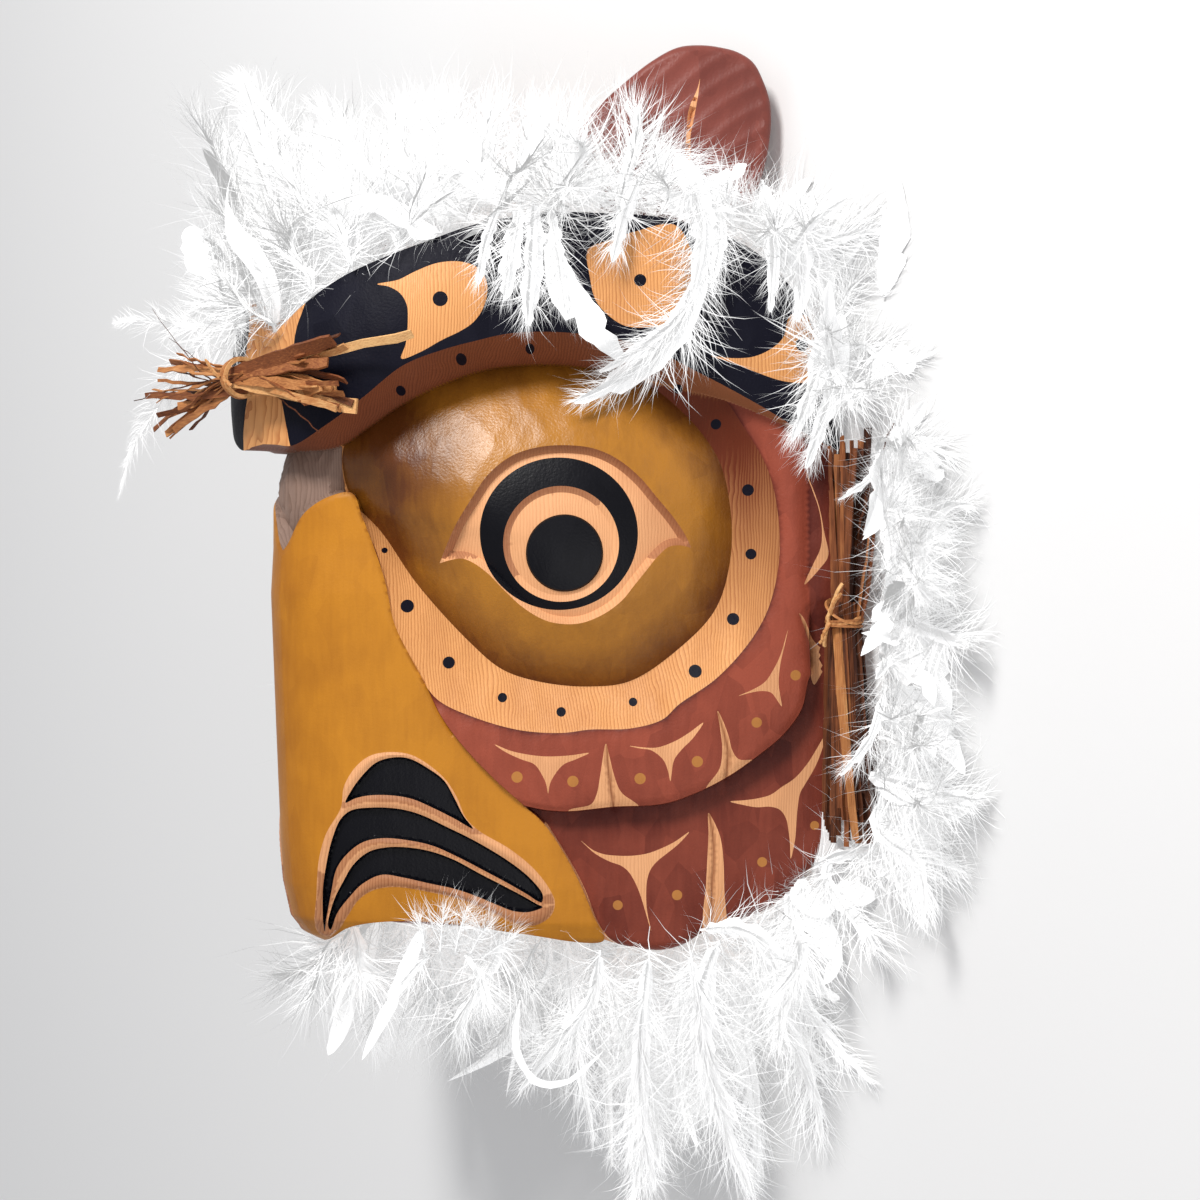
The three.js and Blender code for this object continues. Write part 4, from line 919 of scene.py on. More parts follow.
scene.collection.objects.link(mask)

# Finishes of the mask. Paint and bare cedar are two node groups that every painted piece shares.
def weave(tree, kind, sockets=None, **settings):
    """Adds a node to a tree, with its settings, and with values or links on its sockets."""
    node = tree.nodes.new(kind)
    for name, value in settings.items():
        setattr(node, name, value)
    for name, value in (sockets or {}).items():
        if isinstance(value, bpy.types.NodeSocket):
            tree.links.new(value, node.inputs[name])
        else:
            node.inputs[name].default_value = value
    return node


def sum_of(tree, kind, first, second, third=None):
    """A Math node on numbers or sockets."""
    sockets = {0: first, 1: second}
    if third is not None:
        sockets[2] = third
    return weave(tree, "ShaderNodeMath", sockets, operation=kind).outputs[0]


def blend(tree, share, first, second):
    """A Mix node on two colours."""
    sockets = {0: share, 6: first, 7: second}
    return weave(tree, "ShaderNodeMix", sockets, data_type="RGBA", clamp_factor=True).outputs[2]


def pulled(tree, place, share):
    """A place drawn together or out along its axes, so that a pattern grows long."""
    return weave(tree, "ShaderNodeVectorMath", {0: place, 1: share}, operation="MULTIPLY").outputs[0]


def noise(tree, place, scale, detail):
    """Soft random values over the surface."""
    sockets = {"Vector": place, "Scale": scale, "Detail": detail}
    return weave(tree, "ShaderNodeTexNoise", sockets).outputs["Fac"]


def new_group(name, inputs, outputs, tree_kind="ShaderNodeTree"):
    """An empty node group with named sockets."""
    group = bpy.data.node_groups.new(name, tree_kind)
    for label, kind in inputs:
        group.interface.new_socket(name=label, in_out="INPUT", socket_type="NodeSocket" + kind)
    for label, kind in outputs:
        group.interface.new_socket(name=label, in_out="OUTPUT", socket_type="NodeSocket" + kind)
    return group, group.nodes.new("NodeGroupInput").outputs, group.nodes.new("NodeGroupOutput").inputs


# Bare cedar: growth lines that follow the trunk, fine fibres and pale clouds. Painted shade and tint turn
# it towards a second colour and deepen its growth lines there, and the clouds mix a little of that colour
# in at random.
TRUNK_HEART = (-0.03, 0, 0.335)
GROWTH_LINE = 0.0013
cedar_grain, cedar_in, cedar_out = new_group(
    "cedar_grain",
    [("Pale", "Color"), ("Dark", "Color"), ("Shade_and_tint_colour", "Color"), ("Shade_and_tint", "Float"),
     ("Line Depth", "Float")],
    [("Colour", "Color"), ("Roughness", "Float"), ("Height", "Float")])
place = weave(cedar_grain, "ShaderNodeTexCoord").outputs["Object"]
from_heart = weave(cedar_grain, "ShaderNodeVectorMath", {0: place, 1: TRUNK_HEART}, operation="SUBTRACT")
flat_heart = pulled(cedar_grain, from_heart.outputs[0], (1, 0, 1))
ring_radius = weave(cedar_grain, "ShaderNodeVectorMath", {0: flat_heart}, operation="LENGTH").outputs[1]
long_place = pulled(cedar_grain, place, (1, 0.22, 1))
wander = noise(cedar_grain, long_place, 42.0, 2.0)
ripple = noise(cedar_grain, place, 120.0, 1.0)
shifted = sum_of(cedar_grain, "MULTIPLY_ADD", wander, 0.011, ring_radius)
shifted = sum_of(cedar_grain, "MULTIPLY_ADD", ripple, 0.0011, shifted)
ring_share = sum_of(cedar_grain, "FRACT", sum_of(cedar_grain, "DIVIDE", shifted, GROWTH_LINE), 0.0)
late_wood = sum_of(cedar_grain, "POWER", ring_share, 2.6)
fibre = noise(cedar_grain, pulled(cedar_grain, place, (1, 0.05, 1)), 1500.0, 2.0)
cloud = noise(cedar_grain, long_place, 55.0, 3.0)
line_share = sum_of(cedar_grain, "MULTIPLY", late_wood, cedar_in["Line Depth"])
line_share = sum_of(cedar_grain, "MULTIPLY_ADD", fibre, 0.35, line_share)
line_share = sum_of(cedar_grain, "MULTIPLY_ADD", cloud, 0.5, line_share)
line_share = sum_of(cedar_grain, "SUBTRACT", line_share, 0.33)
wood = blend(cedar_grain, line_share, cedar_in["Pale"], cedar_in["Dark"])
# Painted shade and tint, with a little of the clouds, turn the wood towards its second colour.
shade_and_tint_share = sum_of(cedar_grain, "MULTIPLY_ADD", cloud, 0.35, cedar_in["Shade_and_tint"])
shade_and_tint_share = sum_of(cedar_grain, "SUBTRACT", shade_and_tint_share, 0.18)
shaded_line = sum_of(cedar_grain, "MULTIPLY", cedar_in["Shade_and_tint"], 0.3)
shade_and_tint_share = sum_of(cedar_grain, "MULTIPLY_ADD", late_wood, shaded_line, shade_and_tint_share)
cedar_grain.links.new(blend(cedar_grain, shade_and_tint_share, wood, cedar_in["Shade_and_tint_colour"]), cedar_out["Colour"])
cedar_grain.links.new(sum_of(cedar_grain, "MULTIPLY_ADD", fibre, 0.3, 0.36), cedar_out["Roughness"])
cedar_grain.links.new(sum_of(cedar_grain, "MULTIPLY_ADD", fibre, 0.6, ring_share), cedar_out["Height"])

# Paint: brushed by hand over knife facets, so it is cloudy, streaked and finely stippled. Painted shade
# darkens it towards its deep colour.
hand_paint, paint_in, paint_out = new_group(
    "hand_paint",
    [("Paint", "Color"), ("Deep", "Color"), ("Paint_shade", "Float"), ("Facets", "Float"), ("Matt", "Float")],
    [("Colour", "Color"), ("Roughness", "Float"), ("Height", "Float")])
place = weave(hand_paint, "ShaderNodeTexCoord").outputs["Object"]
cloud = noise(hand_paint, place, 34.0, 4.0)
streak = noise(hand_paint, pulled(hand_paint, place, (1, 0.12, 1)), 420.0, 2.0)
knife_place = pulled(hand_paint, place, (1, 0.55, 1))
knife = weave(hand_paint, "ShaderNodeTexVoronoi", {
    "Vector": knife_place, "Scale": 105.0, "Randomness": 0.9})
facet_tone = weave(hand_paint, "ShaderNodeSeparateColor", {"Color": knife.outputs["Color"]}).outputs[0]
stipple = noise(hand_paint, place, 900.0, 2.0)
# Painted shade, clouds, streaks and facets push the paint towards its deep colour.
deep_share = sum_of(hand_paint, "MULTIPLY_ADD", cloud, 0.9, paint_in["Paint_shade"])
deep_share = sum_of(hand_paint, "MULTIPLY_ADD", streak, 0.3, deep_share)
centred_tone = sum_of(hand_paint, "SUBTRACT", facet_tone, 0.5)
deep_share = sum_of(hand_paint, "MULTIPLY_ADD", centred_tone, paint_in["Facets"], deep_share)
deep_share = sum_of(hand_paint, "SUBTRACT", deep_share, 0.55)
paint_colour = blend(hand_paint, deep_share, paint_in["Paint"], paint_in["Deep"])
hand_paint.links.new(paint_colour, paint_out["Colour"])
matt = sum_of(hand_paint, "MULTIPLY_ADD", cloud, 0.16, paint_in["Matt"])
hand_paint.links.new(sum_of(hand_paint, "MULTIPLY_ADD", stipple, 0.12, matt), paint_out["Roughness"])
facet_height = sum_of(hand_paint, "MULTIPLY", knife.outputs["Distance"], paint_in["Facets"])
height_sum = sum_of(hand_paint, "MULTIPLY_ADD", facet_height, 1.6, stipple)
hand_paint.links.new(sum_of(hand_paint, "MULTIPLY_ADD", streak, 0.6, height_sum), paint_out["Height"])


def finish_material(name, group, values, attribute, sheen, depth, strength=0.7):
    """A material whose colour, roughness and relief come from a shared group.

    The attribute is one that the mesh carries: its name with a capital is the group's input.
    """
    finish = bpy.data.materials.new(name)
    finish.use_nodes = True
    tree = finish.node_tree
    shader = tree.nodes["Principled BSDF"]
    shader.inputs["Specular IOR Level"].default_value = sheen
    effect = weave(tree, "ShaderNodeGroup", node_tree=group)
    for label, value in values.items():
        effect.inputs[label].default_value = value
    if attribute:
        shade = weave(tree, "ShaderNodeAttribute", attribute_name=attribute)
        tree.links.new(shade.outputs["Fac"], effect.inputs[attribute.capitalize()])
    relief = weave(tree, "ShaderNodeBump", {
        "Strength": strength, "Distance": depth, "Height": effect.outputs["Height"]})
    tree.links.new(effect.outputs["Colour"], shader.inputs["Base Color"])
    tree.links.new(effect.outputs["Roughness"], shader.inputs["Roughness"])
    tree.links.new(relief.outputs["Normal"], shader.inputs["Normal"])
    return finish


# Each paint has its full and its deep colour, the strength of its knife facets, how matt it is, its sheen
# and the depth of its relief in metres.
PAINTS = {
    "ochre_beak": ((0.49, 0.192, 0.014), (0.23, 0.070, 0.005), 0.10, 0.30, 0.20, 0.00012),
    "ochre_orb": ((0.40, 0.160, 0.014), (0.100, 0.026, 0.003), 0.12, 0.20, 0.38, 0.00020),
    "brick_red": ((0.295, 0.062, 0.034), (0.085, 0.011, 0.006), 0.28, 0.34, 0.18, 0.00022),
    "blue_black": ((0.003, 0.003, 0.009), (0.010, 0.010, 0.019), 0.50, 0.40, 0.11, 0.00022),
    "gloss_black": ((0.002, 0.002, 0.004), (0.006, 0.006, 0.009), 0.25, 0.20, 0.16, 0.00016),
    "ochre_spot": ((0.42, 0.17, 0.04), (0.24, 0.08, 0.02), 0.10, 0.40, 0.20, 0.00010),
}
# Each wood has the colours of its early and late growth, the colour that painted shade and tint turn it to,
# the strength of its growth lines and its sheen.
WOODS = {
    "bare_cedar": ((0.74, 0.355, 0.130), (0.40, 0.130, 0.036), (0.125, 0.022, 0.007), 0.75, 0.20),
    # The brow's under face: bare cedar darkened as painted shade, with a lighter second colour so that the
    # face lightens towards the right.
    "shaded_cedar": ((0.215, 0.062, 0.026), (0.085, 0.019, 0.008), (0.36, 0.14, 0.065), 0.60, 0.25),
    "pale_cedar": ((0.76, 0.385, 0.185), (0.47, 0.185, 0.075), (0.20, 0.055, 0.018), 0.38, 0.20),
    "silver_cedar": ((0.25, 0.165, 0.130), (0.10, 0.055, 0.036), (0.05, 0.022, 0.014), 0.45, 0.15),
    # A darker copy of pale cedar: painted shade on the eye's upper bevels.
    "bevel_shade_cedar": ((0.46, 0.205, 0.100), (0.27, 0.095, 0.042), (0.30, 0.105, 0.045), 0.45, 0.15),
    "side_cedar": ((0.52, 0.25, 0.110), (0.27, 0.105, 0.040), (0.24, 0.085, 0.033), 0.60, 0.15),
    "hollow_cedar": ((0.56, 0.30, 0.150), (0.33, 0.15, 0.065), (0.28, 0.12, 0.050), 0.55, 0.12),
}
for name in FACE_FINISHES:
    if name in PAINTS:
        paint, deep, facets, matt, sheen, depth = PAINTS[name]
        values = {"Paint": (*paint, 1), "Deep": (*deep, 1), "Facets": facets, "Matt": matt}
        attribute = None if name in ("ochre_spot", "gloss_black", "blue_black") else "paint_shade"
        mask_mesh.materials.append(finish_material(name, hand_paint, values, attribute, sheen, depth))
    else:
        pale, dark, shade_and_tint_colour, lines, sheen = WOODS[name]
        values = {"Pale": (*pale, 1), "Dark": (*dark, 1), "Shade_and_tint_colour": (*shade_and_tint_colour, 1), "Line Depth": lines}
        attribute = None if name in ("silver_cedar", "side_cedar", "hollow_cedar") else "shade_and_tint"
        mask_mesh.materials.append(finish_material(name, cedar_grain, values, attribute, sheen, 0.00012))
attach(mask, "root")
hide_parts("mask_shell")

# Ears. Two flat leaf-shaped cedar boards, painted red, gouged in broad curved bands and slit open to
# the bare wood. They stand on the crown behind the brow; the left one mirrors the right one.
EAR_EDGE = [(2, 176), (-6.5, 188), (-11, 207), (0, 222), (12, 233), (23.5, 242), (35, 248), (45.5, 249),
            (54, 248), (61.5, 246), (68.5, 241.5), (73, 233.5), (76.5, 221.5), (75.5, 202.5), (70, 182),
            (66, 172)]
EAR_SLIT = [(44.8, 233.6), (44, 230.2), (43, 227.4), (40.6, 222.2), (39.2, 216.7), (38.6, 207.1),
            (38, 196), (40, 196), (40.6, 208.4), (42, 215.3), (44, 226.4), (44.4, 229.8)]
EAR_BACK, EAR_FRONT = 102.0, 117.0
EAR_STEP = 1.7
EAR_ROUND = 3.2
SLIT_DEEP = 2.6
GOUGE_HEART = (96, 150)
GOUGE_WIDE = 8.5

ear_line = smooth_line(EAR_EDGE, step=2.0)
ear_line[:, 1] = np.maximum(ear_line[:, 1], height_of(BROW_LINES["top"], ear_line[:, 0]) + 2.5)
ear_slit = smooth_line(EAR_SLIT, step=1.2)
ear_seams, ear_seam_edges = [], []
for line in (ear_line, evenly(inset(ear_line, 1.0), 2.0), evenly(inset(ear_line, 3.0), 2.0), ear_slit):
    first = len(ear_seams)
    ear_seams += [Vector(p) for p in line]
    ear_seam_edges += [(first + k, first + (k + 1) % len(line)) for k in range(len(line))]
fill_u, fill_v = grid_points((-12, 168), (80, 252), EAR_STEP)
inner = inside(ear_line, fill_u, fill_v) & (gap_to(ear_line, fill_u, fill_v) > 3.6)
inner &= gap_to(ear_slit, fill_u, fill_v) > 0.8
ear_flat, _, ear_faces, _, _, _ = geometry.delaunay_2d_cdt(
    ear_seams + [Vector(p) for p in zip(fill_u[inner], fill_v[inner])], ear_seam_edges, [], 0, 1e-4)
ear_flat = np.array([(p.x, p.y) for p in ear_flat])
ear_faces = np.array(ear_faces)
middle_of = ear_flat[ear_faces].mean(1)
ear_faces = ear_faces[inside(ear_line, middle_of[:, 0], middle_of[:, 1])]
middle_of = ear_flat[ear_faces].mean(1)
u, v = ear_flat.T
edge_gap = gap_to(ear_line, u, v)
rounding = EAR_ROUND * np.clip(1 - edge_gap / 3, 0, 1) ** 2
band = np.hypot(u - GOUGE_HEART[0], (v - GOUGE_HEART[1]) * 0.9) / GOUGE_WIDE
gouges = 0.9 * (2 * (band % 1.0) - 1) ** 2 + 0.35 * np.sin(u / 7 + v / 11)
slit_depth = np.where(inside(ear_slit, u, v), np.minimum(gap_to(ear_slit, u, v) * 3, SLIT_DEEP), 0)
front_level = EAR_FRONT - 0.2 - rounding - (0.95 - gouges) * np.clip(edge_gap / 4, 0, 1) - slit_depth
back_level = EAR_BACK + 0.6 * rounding
front = u[:, None] * ACROSS + v[:, None] * UP + front_level[:, None] * OUT
back = u[:, None] * ACROSS + v[:, None] * UP + back_level[:, None] * OUT
ear_walls = [(a, a + len(u), b + len(u), b) for a, b in outer_edges(ear_faces)]
in_slit = inside(ear_slit, middle_of[:, 0], middle_of[:, 1])
# The ear's paint takes an even 0.12 on its painted-shade input, the same darkening all over.
ear_paint = {"Paint": (0.200, 0.048, 0.035, 1), "Deep": (0.085, 0.014, 0.010, 1),
             "Facets": 0.35, "Matt": 0.34, "Paint_shade": 0.12}
ear_red = finish_material("ear_red", hand_paint, ear_paint, None, 0.28, 0.0002)
ear_mesh = bpy.data.meshes.new("ear")
ear_mesh.from_pydata((np.concatenate([front, back]) + [0, CROWN_SHIFT, 0]).tolist(), [],
                     ear_faces.tolist() + (ear_faces[:, ::-1] + len(u)).tolist() + ear_walls)
bare_faces = in_slit.astype(int).tolist() + [0] * (len(ear_faces) + len(ear_walls))
ear_mesh.polygons.foreach_set("material_index", bare_faces)
ear_mesh.transform(Matrix.Scale(METRES, 4))
ear_mesh.materials.append(ear_red)
ear_mesh.materials.append(bpy.data.materials["pale_cedar"])
ear_mesh.shade_smooth()
ear_mesh.set_sharp_from_angle(angle=math.radians(40))
for side_name in ("right", "left"):
    if side_name == "left":
        ear_mesh = ear_mesh.copy()
        ear_mesh.transform(Matrix.Scale(-1, 4, (1, 0, 0)))
        ear_mesh.flip_normals()
    ear = bpy.data.objects.new("ear_" + side_name, ear_mesh)
    scene.collection.objects.link(ear)
    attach(ear, "root")
    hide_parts("ear_" + side_name)

# Bark bundles. Strips torn from red cedar bark with square ends, held at the middle by a bark tie: one
# lies across the front of the brow and one down each side of the rim.
STRIP_STEPS = 14
STRIP_THICK = 0.26
LOOP_STEPS = 30
TIE_WIDE = 1.75
TIE_THICK = 0.62
chance = np.random.default_rng(11)


def named(tree, kind, name):
    """The values of a named attribute in a Geometry Nodes tree."""
    node = tree.nodes.new("GeometryNodeInputNamedAttribute")
    node.data_type = kind
    node.inputs["Name"].default_value = name
    return next(s for s in node.outputs if s.name == "Attribute" and s.enabled)


def grown(start, tree, **inputs):
    """The mesh that a Geometry Nodes tree makes from a start mesh."""
    maker = bpy.data.objects.new("maker", start)
    scene.collection.objects.link(maker)
    nodes = maker.modifiers.new("growth", "NODES")
    nodes.node_group = tree
    for label, value in inputs.items():
        nodes[tree.interface.items_tree[label].identifier] = value
    mesh = bpy.data.meshes.new_from_object(maker.evaluated_get(bpy.context.evaluated_depsgraph_get()))
    bpy.data.objects.remove(maker)
    return mesh


strip_tree, strip_in, strip_out = new_group(
    "bark_strips", [("Geometry", "Geometry"), ("Thickness", "Float"), ("Finish", "Material")],
    [("Geometry", "Geometry")], "GeometryNodeTree")
strip_paths = weave(strip_tree, "GeometryNodeMeshToCurve", {"Mesh": strip_in["Geometry"]})
strip_tilt = weave(strip_tree, "GeometryNodeSetCurveTilt", {
    "Curve": strip_paths.outputs[0], "Tilt": named(strip_tree, "FLOAT", "tilt")})
strip_section = weave(strip_tree, "GeometryNodeCurvePrimitiveQuadrilateral", {
    "Width": 1.0, "Height": strip_in["Thickness"]})
strip_solid = weave(strip_tree, "GeometryNodeCurveToMesh", {
    "Curve": strip_tilt.outputs[0], "Profile Curve": strip_section.outputs[0],
    "Scale": named(strip_tree, "FLOAT", "wide"), "Fill Caps": True})
strip_real = weave(strip_tree, "GeometryNodeRealizeInstances", {"Geometry": strip_solid.outputs[0]})
strip_finish = weave(strip_tree, "GeometryNodeSetMaterial", {
    "Geometry": strip_real.outputs[0], "Material": strip_in["Finish"]})
strip_tree.links.new(strip_finish.outputs[0], strip_out["Geometry"])

# Bark and its tie: dark red outer bark, tan and straw inner bark, with fibres along every strip.
bark_fibre, bark_in, bark_out = new_group(
    "bark_fibre", [("Tone", "Float"), ("Along", "Vector")],
    [("Colour", "Color"), ("Roughness", "Float"), ("Height", "Float")])
place = weave(bark_fibre, "ShaderNodeTexCoord").outputs["Object"]
fibre = noise(bark_fibre, pulled(bark_fibre, place, bark_in["Along"]), 1700.0, 3.0)
patch = noise(bark_fibre, place, 90.0, 2.0)
bark_share = sum_of(bark_fibre, "MULTIPLY_ADD", fibre, 0.55, bark_in["Tone"])
bark_share = sum_of(bark_fibre, "MULTIPLY_ADD", patch, 0.3, bark_share)
bark_share = sum_of(bark_fibre, "SUBTRACT", bark_share, 0.42)
bark_ramp = weave(bark_fibre, "ShaderNodeValToRGB", {"Fac": bark_share})
bark_stops = [(0.0, (0.035, 0.010, 0.005, 1)), (0.35, (0.20, 0.062, 0.022, 1)),
              (0.65, (0.46, 0.19, 0.065, 1)), (1.0, (0.78, 0.46, 0.20, 1))]
bark_ramp.color_ramp.elements[0].color = bark_stops[0][1]
bark_ramp.color_ramp.elements[1].color = bark_stops[3][1]
for stop, colour in bark_stops[1:3]:
    bark_ramp.color_ramp.elements.new(stop).color = colour
bark_fibre.links.new(bark_ramp.outputs["Color"], bark_out["Colour"])
bark_fibre.links.new(sum_of(bark_fibre, "MULTIPLY_ADD", fibre, 0.3, 0.5), bark_out["Roughness"])
bark_fibre.links.new(sum_of(bark_fibre, "MULTIPLY_ADD", patch, 0.5, fibre), bark_out["Height"])


def bark_material(name, along):
    """Bark whose fibres run the way that its strips lie."""
    return finish_material(name, bark_fibre, {"Along": along}, "tone", 0.2, 0.0003, strength=0.8)


def torn_strip(start, end, wide, bow, tone, tilt=0.0, curl=0.0, end_wide=0.85, shake=0.3):
    """One strip as a path with its width, tilt and tone at every point."""
    t = np.linspace(0, 1, STRIP_STEPS)[:, None]
    start, end, bow = (np.array(p, float) for p in (start, end, bow))
    path = start + (end - start) * t + bow * np.sin(math.pi * t ** 0.8)
    path = path + curl * np.array([0.2, 0.6, 0.5]) * np.clip(t - 0.55, 0, 1) ** 2 * 12
    path = path + chance.normal(0, shake, (STRIP_STEPS, 3)) * np.clip(t * 2, 0, 1)
    widths = wide * (1 - (1 - end_wide) * t[:, 0]) * chance.uniform(0.9, 1.08, STRIP_STEPS)
    tilts = tilt + chance.normal(0, 0.5) * t[:, 0] * 1.4
    return path, widths, tilts, tone


def make_strips(name, strips, thickness, finish, replaced, mirror=False, loops=False):
    """Grows the strips on their paths and joins them into one plain mesh."""
    points, links, values = [], [], {"wide": [], "tilt": [], "tone": []}
    for path, widths, tilts, tone in strips:
        first = len(points)
        points += [tuple(p * METRES) for p in path]
        links += [(first + k, first + k + 1) for k in range(len(path) - 1)]
        if loops and len(path) > STRIP_STEPS:
            links.append((len(points) - 1, first))
        values["wide"] += list(widths * METRES)
        values["tilt"] += list(tilts)
        values["tone"] += [tone] * len(path)
    paths = bpy.data.meshes.new(name + "_paths")
    paths.from_pydata(points, links, [])
    for title, numbers in values.items():
        paths.attributes.new(title, "FLOAT", "POINT").data.foreach_set("value", numbers)
    mesh = grown(paths, strip_tree, Thickness=thickness, Finish=finish)
    if mirror:
        mesh.transform(Matrix.Scale(-1, 4, (1, 0, 0)))
    faced = bmesh.new()
    faced.from_mesh(mesh)
    bmesh.ops.recalc_face_normals(faced, faces=faced.faces)
    faced.to_mesh(mesh)
    faced.free()
    mesh.shade_smooth()
    mesh.set_sharp_from_angle(angle=math.radians(35))
    mesh.materials.clear()
    mesh.materials.append(finish)
    piece = bpy.data.objects.new(name, mesh)
    scene.collection.objects.link(piece)
    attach(piece, "root")
    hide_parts(*replaced)


def tie_loops(centre, axis, radius, leans):
    """Narrow loops side by side, a little askew, and the two tucked tails of the tie."""
    side = np.cross(axis, Z_AXIS)
    loops = []
    turns = np.linspace(0, 2 * math.pi, LOOP_STEPS, endpoint=False)[:, None]
    for k, lean in enumerate(leans):
        shift = (k - (len(leans) - 1) / 2) * 2.0
        round_it = side * np.cos(turns) + Z_AXIS * np.sin(turns)
        ring = centre + axis * shift + (radius + 0.25 * (k % 2)) * round_it
        ring = ring + axis * lean * radius * np.cos(turns + k)
        widths, tilts = np.full(LOOP_STEPS, TIE_WIDE), np.zeros(LOOP_STEPS)
        loops.append((ring, widths, tilts, chance.uniform(0.5, 0.85)))
    for sign in (1, -1):
        start = centre + axis * sign * 2 + Z_AXIS * (radius + 0.9)
        end = start + axis * sign * 9 + side * sign * chance.uniform(4, 9) + Z_AXIS * 1.5
        loops.append(torn_strip(start, end, 1.5, Z_AXIS * 1.2, 0.75))
    return loops


front_bark = bark_material("bark_across", (0.06, 1, 1))
side_bark = bark_material("bark_upright", (1, 0.06, 1))
tie_bark = bark_material("bark_of_ties", (0.5, 0.5, 0.5))

# The front bundle: a ragged broom over the far side of the brow, shorter square ends on the near side.
waist = np.array([6.0, 111.0, 206.0])
strips = []
for count, side, long, rise, lift, drop, wide, bow, tilt, curl in (
        (24, -1, (46, 84), (-23, 13), (-4, 6), 0, (1.8, 4.2), 2.2, 0.6, 1.0),
        (20, 1, (38, 60), (-17, 15), (-3, 6), 30, (1.8, 4.5), 2.0, 0.5, 0.8)):
    for k in range(count):
        angle, size = chance.uniform(0, 2 * math.pi), 5.0 * chance.uniform(0, 1) ** 0.5
        start = waist + [-7 * side, size * math.cos(angle), 0.8 * size * math.sin(angle)]
        reach = chance.uniform(*long)
        fall = drop * (reach / 84) ** 1.4
        end = waist + [side * reach, chance.uniform(*rise), chance.uniform(*lift) - fall]
        strips.append(torn_strip(start, end, chance.uniform(*wide), chance.normal(0, bow, 3),
                                 chance.uniform(0.1, 0.75), chance.normal(0, tilt), chance.normal(0, curl)))
for end, wide, tone in (((55, 13, -14), 6.4, 0.3), ((80, 15, -37), 4.0, 0.98), ((59, -15, -23), 6.6, 0.86),
                        ((50, 4, -14), 5.0, 0.4), ((52, -7, -15), 4.6, 0.62)):
    strips.append(torn_strip(waist + [-5, 0, 3], waist + end, wide, (0, 0, 3.5), tone, 0.0, 0.0, 1.0))
for end, bow in (((-80, 38, 2), (10, -16, 0)), ((-98, -4, 2), (0, 2, 0)), ((-70, 24, -2), (4, -5, 0)),
                 ((44, -26, -14), (0, 3, 0))):
    strips.append(torn_strip(waist, waist + end, 0.9, bow, 0.12, 0.0, 0.0, 0.5))
ties = tie_loops(waist, X_AXIS, 8.3, (0.12, -0.05, 0.08))
make_strips("bark_bundle_front", strips, STRIP_THICK, front_bark, ["bark_bundle_front"])
make_strips("bark_tie_front", ties, TIE_THICK, tie_bark, ["bark_tie_front"], loops=True)

# The side bundles: long straight strips that hang down the rim, with a small fan and a twig on top.
waist = np.array([187.2, 5.0, 12.6])
strips = []


def upright_strips(count, upward, long, fan, aside, deeper, wide, darkest, palest):
    """Strips from the side waist, upwards or downwards, that spread a little towards their ends."""
    for k in range(count):
        across_waist, deep = chance.uniform(-5.2, 5.2), chance.uniform(-3.6, 3.2)
        start = waist + [across_waist, -7 * upward, deep]
        end_across = across_waist * fan + aside + chance.uniform(-4, 4)
        end = waist + [end_across, upward * chance.uniform(*long), deep * deeper]
        strips.append(torn_strip(start, end, chance.uniform(*wide), chance.normal(0, 0.8, 3),
                                 chance.uniform(darkest, palest), chance.normal(0, 0.4), 0.0, 0.95, 0.14))


upright_strips(36, -1, (74, 98), 1.9, 4, 1.3, (2.0, 3.8), -0.1, 0.45)
# Nine dark strips behind the bundle, towards the mask: a painted shadow filling the gap between bundle and
# mask.
for k in range(9):
    aside = -12.2 - 0.65 * k
    start = waist + [aside + 0.8, -5, -5.5]
    end = waist + [aside, -97 + 1.5 * k, -4.5]
    strips.append(torn_strip(start, end, 3.2, (0, 0, 0), 0.03 * k, chance.normal(0, 0.3), 0.0, 0.95, 0.14))
upright_strips(40, 1, (50, 82), 2.3, 1, 1.4, (1.8, 3.6), -0.1, 0.5)
strips.append(torn_strip(waist + [0, -4, 4], waist + (12, -94, 5), 5.2, (0, 0, 1), 0.62,
                         end_wide=1.0, shake=0.1))
strips.append(torn_strip(waist, waist + (25, 83, -4), 1.5, (-3, 4, 0), 0.1, 0.0, 0.0, 0.5))
ties = tie_loops(waist, Y_AXIS, 7.3, (-0.05, 0.05, 0.45, 0.7))
ties.append(torn_strip(waist + [-6, -12, 6], waist + [6, 16, 7], 1.6, (0, 0, 2), 0.9))
for side_name, mirror in (("right", False), ("left", True)):
    bundle, tie = "bark_bundle_" + side_name, "bark_tie_" + side_name
    make_strips(bundle, strips, STRIP_THICK, side_bark, [bundle], mirror)
    make_strips(tie, ties, TIE_THICK, tie_bark, [tie], mirror, loops=True)


# Feathers. White goose plumes with downy bases, glued in rows on the mask's walls: along the crest of
# the brow, round the ends of the brow, along the rim beside the cheeks and under the chin.
# Each plume is a quill with a narrow closed vane and soft curling barbs on both sides.
BARB_KINDS = [(0.12, 0.04), (0.24, 0.10), (0.36, -0.12), (0.30, 0.18), (0.48, -0.05), (0.18, -0.2),
              (0.6, 0.15), (0.45, 0.35), (-0.3, 0.35), (0.75, -0.3), (-0.45, -0.25), (0.1, 0.6), (0.9, 0.1),
              (1.1, 0.4), (-0.7, 0.5), (0.8, 0.7)]
SLEEK_KINDS = 6
BARB_WIDE = 0.015
BARBS_PER_MM = 5.8
CLUMP_LONG = 3.0
QUILL_POINTS = 12
QUILL_THICK = 0.6
LOWEST_QUILL, LOWEST_BARB = 1.5, 1.0
PLUME_REACH = np.array(cad_high) / METRES + [6, 6, 0]
VANE_STEPS = 15
VANE_LEAVES = [(0.1, 1.0), (math.pi - 0.1, 1.0), (1.25, 0.8), (2.2, 0.8)]
SKYWARD = np.array([0.15, 0.5, 0.9])
